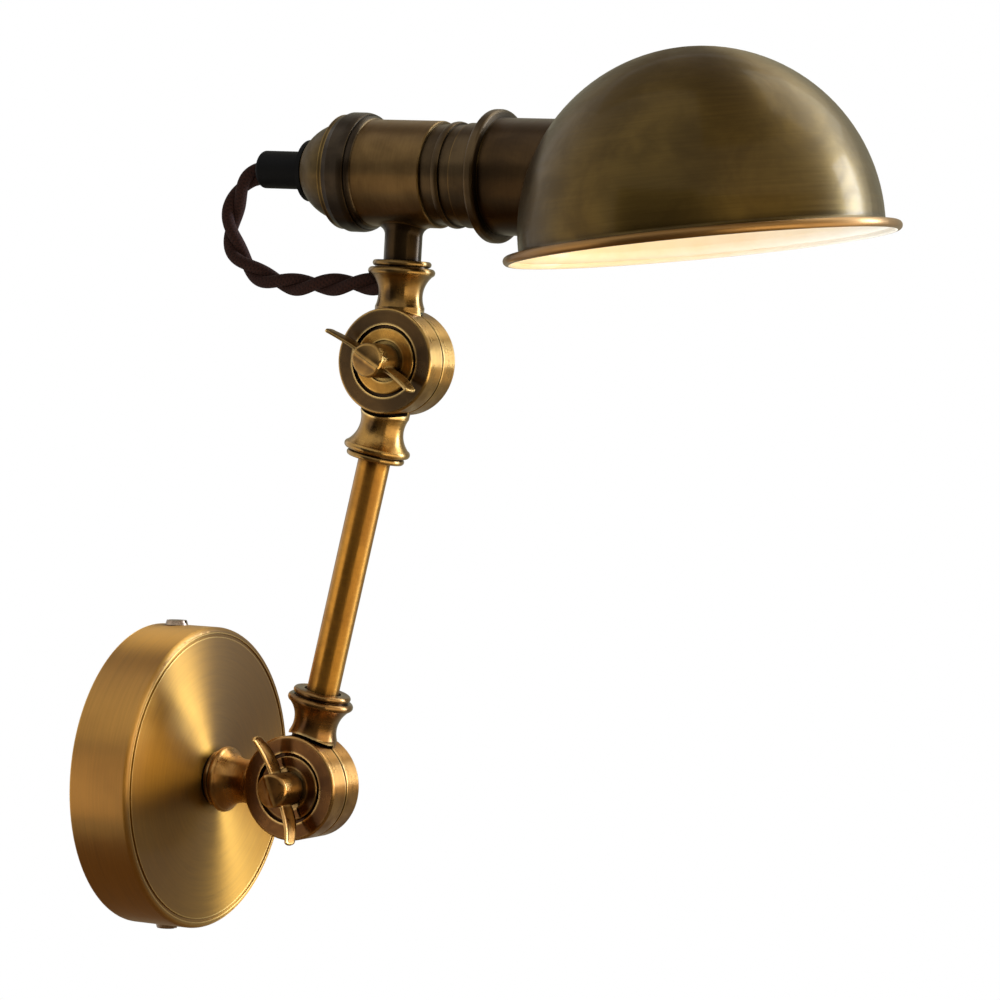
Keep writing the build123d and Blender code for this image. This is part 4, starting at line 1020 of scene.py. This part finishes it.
@dataclass(frozen=True)
class Card:
    """A toned card hung round the set, seen only in reflections.

    It is bent on a sphere, and lies on the floor where the sphere would pass under it. Angles
    are in degrees and lengths in metres.
    """

    name: str
    around: Pair
    above: Pair
    tone: str
    radius: float = 3.0
    drop: float = 0.295  # just above the floor
    columns: int = 48
    rows: int = 24

    def build(self) -> None:
        """Bend the card about the set, and keep it out of the camera's and the lamps' way."""
        around = np.linspace(*self.around, self.columns)
        above = np.linspace(*self.above, self.rows)
        turn, rise = np.radians(np.meshgrid(around, above))
        reach = np.minimum(self.radius, self.drop / np.maximum(np.sin(-rise), 0.001))
        level = np.cos(rise)
        way = np.stack([np.cos(turn) * level, np.sin(turn) * level, np.sin(rise)], -1)
        grid = reach[..., None] * way
        index = np.arange(turn.size).reshape(turn.shape)
        corners = [index[:-1, :-1], index[:-1, 1:], index[1:, 1:], index[1:, :-1]]
        faces = np.stack(corners, -1).reshape(-1, 4).tolist()
        card = new_piece(self.name, [(grid.reshape(-1, 3) / MM, faces)], crease=180)
        material, tree = bare_material(self.name)
        felt = add(tree, "Emission", {"Color": linear(self.tone), "Strength": 1.0})
        add(tree, "OutputMaterial", {"Surface": felt})
        card.data.materials.append(material)
        for ray in ("camera", "diffuse", "transmission", "volume_scatter", "shadow"):
            setattr(card, f"visible_{ray}", False)


@dataclass(frozen=True)
class Studio:
    """A pale room: white to the camera and in reflections, softer as light, over a pale floor.

    Lengths are in metres.
    """

    boxes: tuple[Softbox, ...]
    cards: tuple[Card, ...]
    fill: float = 0.45
    floor_drop: float = 0.30
    floor_size: float = 12.0
    floor_colour: str = "#F2F1EE"
    floor_glow: float = 0.08
    floor_fade: Pair = (0.5, 1.1)  # from the middle, over which the floor turns white

    def build(self) -> None:
        """Make the world, the floor, the lights and the cards."""
        self._world()
        self._floor()
        for thing in (*self.boxes, *self.cards):
            thing.build()

    def _seen(self, tree: Tree) -> Node:
        """Tell the rays that see the room from those that only light it.

        Args:
            tree: the node tree.

        Returns:
            One for camera, glossy and transmission rays, and zero for the rest.
        """
        path = add(tree, "LightPath")
        either = calc(tree, "MAXIMUM", path.outputs["Is Camera Ray"], path.outputs["Is Glossy Ray"])
        return calc(tree, "MAXIMUM", either, path.outputs["Is Transmission Ray"])

    def _world(self) -> None:
        """White where it is seen, and a softer fill as light."""
        world = bpy.data.worlds.new("studio")
        world.use_nodes = True
        tree = world.node_tree
        tree.nodes.clear()
        strength = add(tree, "Mix", {0: self._seen(tree), 2: self.fill, 3: 1.0}).outputs[0]
        backdrop = add(tree, "Background", {"Color": (1, 1, 1, 1), "Strength": strength})
        add(tree, "OutputWorld", {"Surface": backdrop})
        bpy.context.scene.world = world

    def _floor(self) -> None:
        """A pale floor that keeps the light's shadow, and turns white farther out."""
        half = self.floor_size / 2
        mesh = bpy.data.meshes.new("floor")
        corners = [(-half, -half), (half, -half), (half, half), (-half, half)]
        mesh.from_pydata([(x, y, -self.floor_drop) for x, y in corners], [], [(0, 1, 2, 3)])
        material, tree = bare_material("painted floor")
        pale = add(tree, "BsdfDiffuse", {"Color": linear(self.floor_colour)})
        white = add(tree, "Emission", {"Color": (1, 1, 1, 1), "Strength": 1.0})
        glow = add(tree, "Emission", {"Color": (1, 1, 1, 1), "Strength": self.floor_glow})
        shaded = add(tree, "AddShader", {0: pale, 1: glow})
        away = off_axis(tree, add(tree, "NewGeometry"))[1]
        far = ramp(tree, away, self.floor_fade, interpolation_type="SMOOTHSTEP")
        seen = add(tree, "MixShader", {0: far, 1: shaded, 2: white})
        both = add(tree, "MixShader", {0: self._seen(tree), 1: pale, 2: seen})
        add(tree, "OutputMaterial", {"Surface": both})
        mesh.materials.append(material)
        in_scene("floor", mesh)


@dataclass(frozen=True)
class PhotoCamera:
    """The photograph's camera. Angles in degrees, lengths in metres, lens and sensor in mm."""

    azimuth: float = 27.6
    elevation: float = 1.676
    roll: float = 2.024
    aim: Point = (0.151932, 0.0, 0.116342)
    distance: float = 1.332718
    lens: float = 126.0
    sensor: float = 36.0

    def build(self) -> None:
        """Stand the camera back from its aim, and roll it about the line of sight."""
        turn, tilt, roll = (math.radians(v) for v in (self.azimuth, self.elevation, self.roll))
        level = math.cos(tilt)
        back = Vector((math.sin(turn) * level, -math.cos(turn) * level, math.sin(tilt)))
        right = Vector((math.cos(turn), math.sin(turn), 0.0))
        up = back.cross(right)
        rolled_right = right * math.cos(roll) + up * math.sin(roll)
        rolled_up = up * math.cos(roll) - right * math.sin(roll)
        place = Matrix((rolled_right, rolled_up, back)).transposed().to_4x4()
        place.translation = Vector(self.aim) + back * self.distance
        camera = in_scene("camera", bpy.data.cameras.new("camera"))
        camera.data.lens = self.lens
        camera.data.sensor_width = self.sensor
        camera.matrix_world = place
        bpy.context.scene.camera = camera


HINGE = np.array([0.0, 1.0, 0.0])
WALL_OUT = np.array([1.0, 0.0, 0.0])
KNUCKLE_SPLIT = 20.9  # mm from the pivot's axis to where the necks begin
SLEEVE_SPLIT = 21.0  # mm from the lampholder's axis to where the stem begins


def dress_solids() -> None:
    """Give every solid that stays visible its finish."""
    lower, upper = LAYOUT.lower_pivot, LAYOUT.upper_pivot
    disc_low, disc_high = turning(lower, HINGE), turning(upper, HINGE)
    holder = turning(LAYOUT.holder_centre, LAYOUT.holder)
    stem = turning(LAYOUT.holder_centre, LAYOUT.stem)
    wall = turning(lower, WALL_OUT)
    arm = turning(lower, LAYOUT.arm)
    dome = turning(LAYOUT.dome_centre, LAYOUT.shade_up)
    finishes = {
        "canopy": SPUN.material("canopy", [turning(np.zeros(3), WALL_OUT)]),
        "wall_knuckle": COPPERY.material("wall", [disc_low, wall], KNUCKLE_SPLIT),
        "arm_lower_knuckle": REDDEST.material("arm foot", [disc_low, arm], KNUCKLE_SPLIT),
        "arm_upper_knuckle": PATINA.material("arm top", [disc_high, arm], KNUCKLE_SPLIT),
        "head_knuckle": PATINA_SHADED_NECK.material("head", [disc_high, stem], KNUCKLE_SPLIT),
        "lower_dished_washer": COPPERY.material("lower washer", [disc_low]),
        "upper_dished_washer": RUBBED.material("upper washer", [disc_high]),
        "arm_tube": GOLDEN.material("tube", [arm]),
        "holder_body": BRONZED.material("sleeve", [holder, stem], SLEEVE_SPLIT),
        "tail_ring": DARKENED.material("tail ring", [holder]),
        "tail_cap": OLIVE.material("tail cap", [holder]),
        "shade_neck": SOOTY.material("shade neck", [holder]),
        "shade_dome": PaintedShade(DOMED, dome, holder).material(),
    }
    turned = ("holder_skirt", "shade_ring", "clamp_ring")
    finishes |= dict.fromkeys(turned, SMOKED.material("turned", [holder]))
    plain = {
        BLACK_PLASTIC: ("grip_disc", "cord_grip", "neck_washer"),
        DARK_FIBRE: ("lower_friction_washer", "upper_friction_washer"),
        ZINC_STEEL: (
            "mounting_bracket", "terminal_screws", "threaded_nipple",
            "nipple_washer", "nipple_locknut", "lower_captive_nut", "upper_captive_nut",
        ),
        DULL_NICKEL: ("canopy_screws",),
        BRIGHT_BRASS: ("earth_screw", "screw_shell", "centre_contact"),
        LAMP_METAL: ("lamp_cap",),
        WHITE_PLASTIC: ("terminal_block",),
        BROWN_COTTON: ("arm_leads", "wall_leads", "holder_leads"),
        PORCELAIN: ("lampholder_insert",),
    }
    for finish, nodes in plain.items():
        finishes |= dict.fromkeys(nodes, finish.material())
    finishes["lamp_globe"] = OpalGlass().material()
    for name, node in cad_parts.items():
        if node.hide_render:
            continue
        node.data.materials.clear()
        node.data.materials.append(finishes[name])
        LOG.info("dressed %s", name)


BOXES = (
    Softbox("key", (0.71, 0.83, 1.26), (0.15, 0.0, 0.15), 0.9, 0.9, 11.0, "#F0F2E6"),
    Softbox("window", (1.12, 0.85, 0.45), (0.13, 0.0, 0.11), 0.4, 0.8, 24.0, "#CBDFFF"),
    Softbox("side", (0.52, 0.0, 0.06), (0.1, 0.0, 0.1), 0.7, 0.26, 1.7, "#FFEFD2"),
    Softbox("low", (-0.45, -0.5, -0.12), (0.0, 0.0, 0.0), 0.5, 0.6, 0.9, "#FFE4BC"),
)
CARDS = (
    Card("camera_card", (-116.0, -64.0), (-35.0, 25.0), "#4A4138"),
    Card("right_card", (-64.0, 35.0), (-35.0, 22.0), "#70675A"),
    Card("front_card", (35.0, 150.0), (-40.0, 45.0), "#AEAC98"),
    Card("roof_card", (-60.0, 180.0), (50.0, 90.0), "#9C9082"),
    Card("table_card", (-180.0, 180.0), (-89.5, -35.0), "#7E684E"),
)


def main() -> None:
    """Dress the light: camera, flex, new pieces, finishes and studio."""
    logging.basicConfig(level=logging.INFO, format="%(message)s")
    bpy.context.scene.view_settings.view_transform = "Standard"
    PhotoCamera().build()
    lower, upper = tuple(LAYOUT.lower_pivot), tuple(LAYOUT.upper_pivot)
    wings = {
        WingScrew("lower_wing_nut", "lower_wing_screw", Body.LOWER_WING, lower, -22.5): COPPERY,
        WingScrew("upper_wing_nut", "upper_wing_screw", Body.UPPER_WING, upper, -59.0): PATINA,
    }
    pieces = [FlexLoop().build(CottonBraid())]
    pieces += [wing.build(finish) for wing, finish in wings.items()]
    for piece in pieces:
        LOG.info("built %s", piece.name)
    dress_solids()
    Studio(BOXES, CARDS).build()


if __name__ == "__main__":
    main()
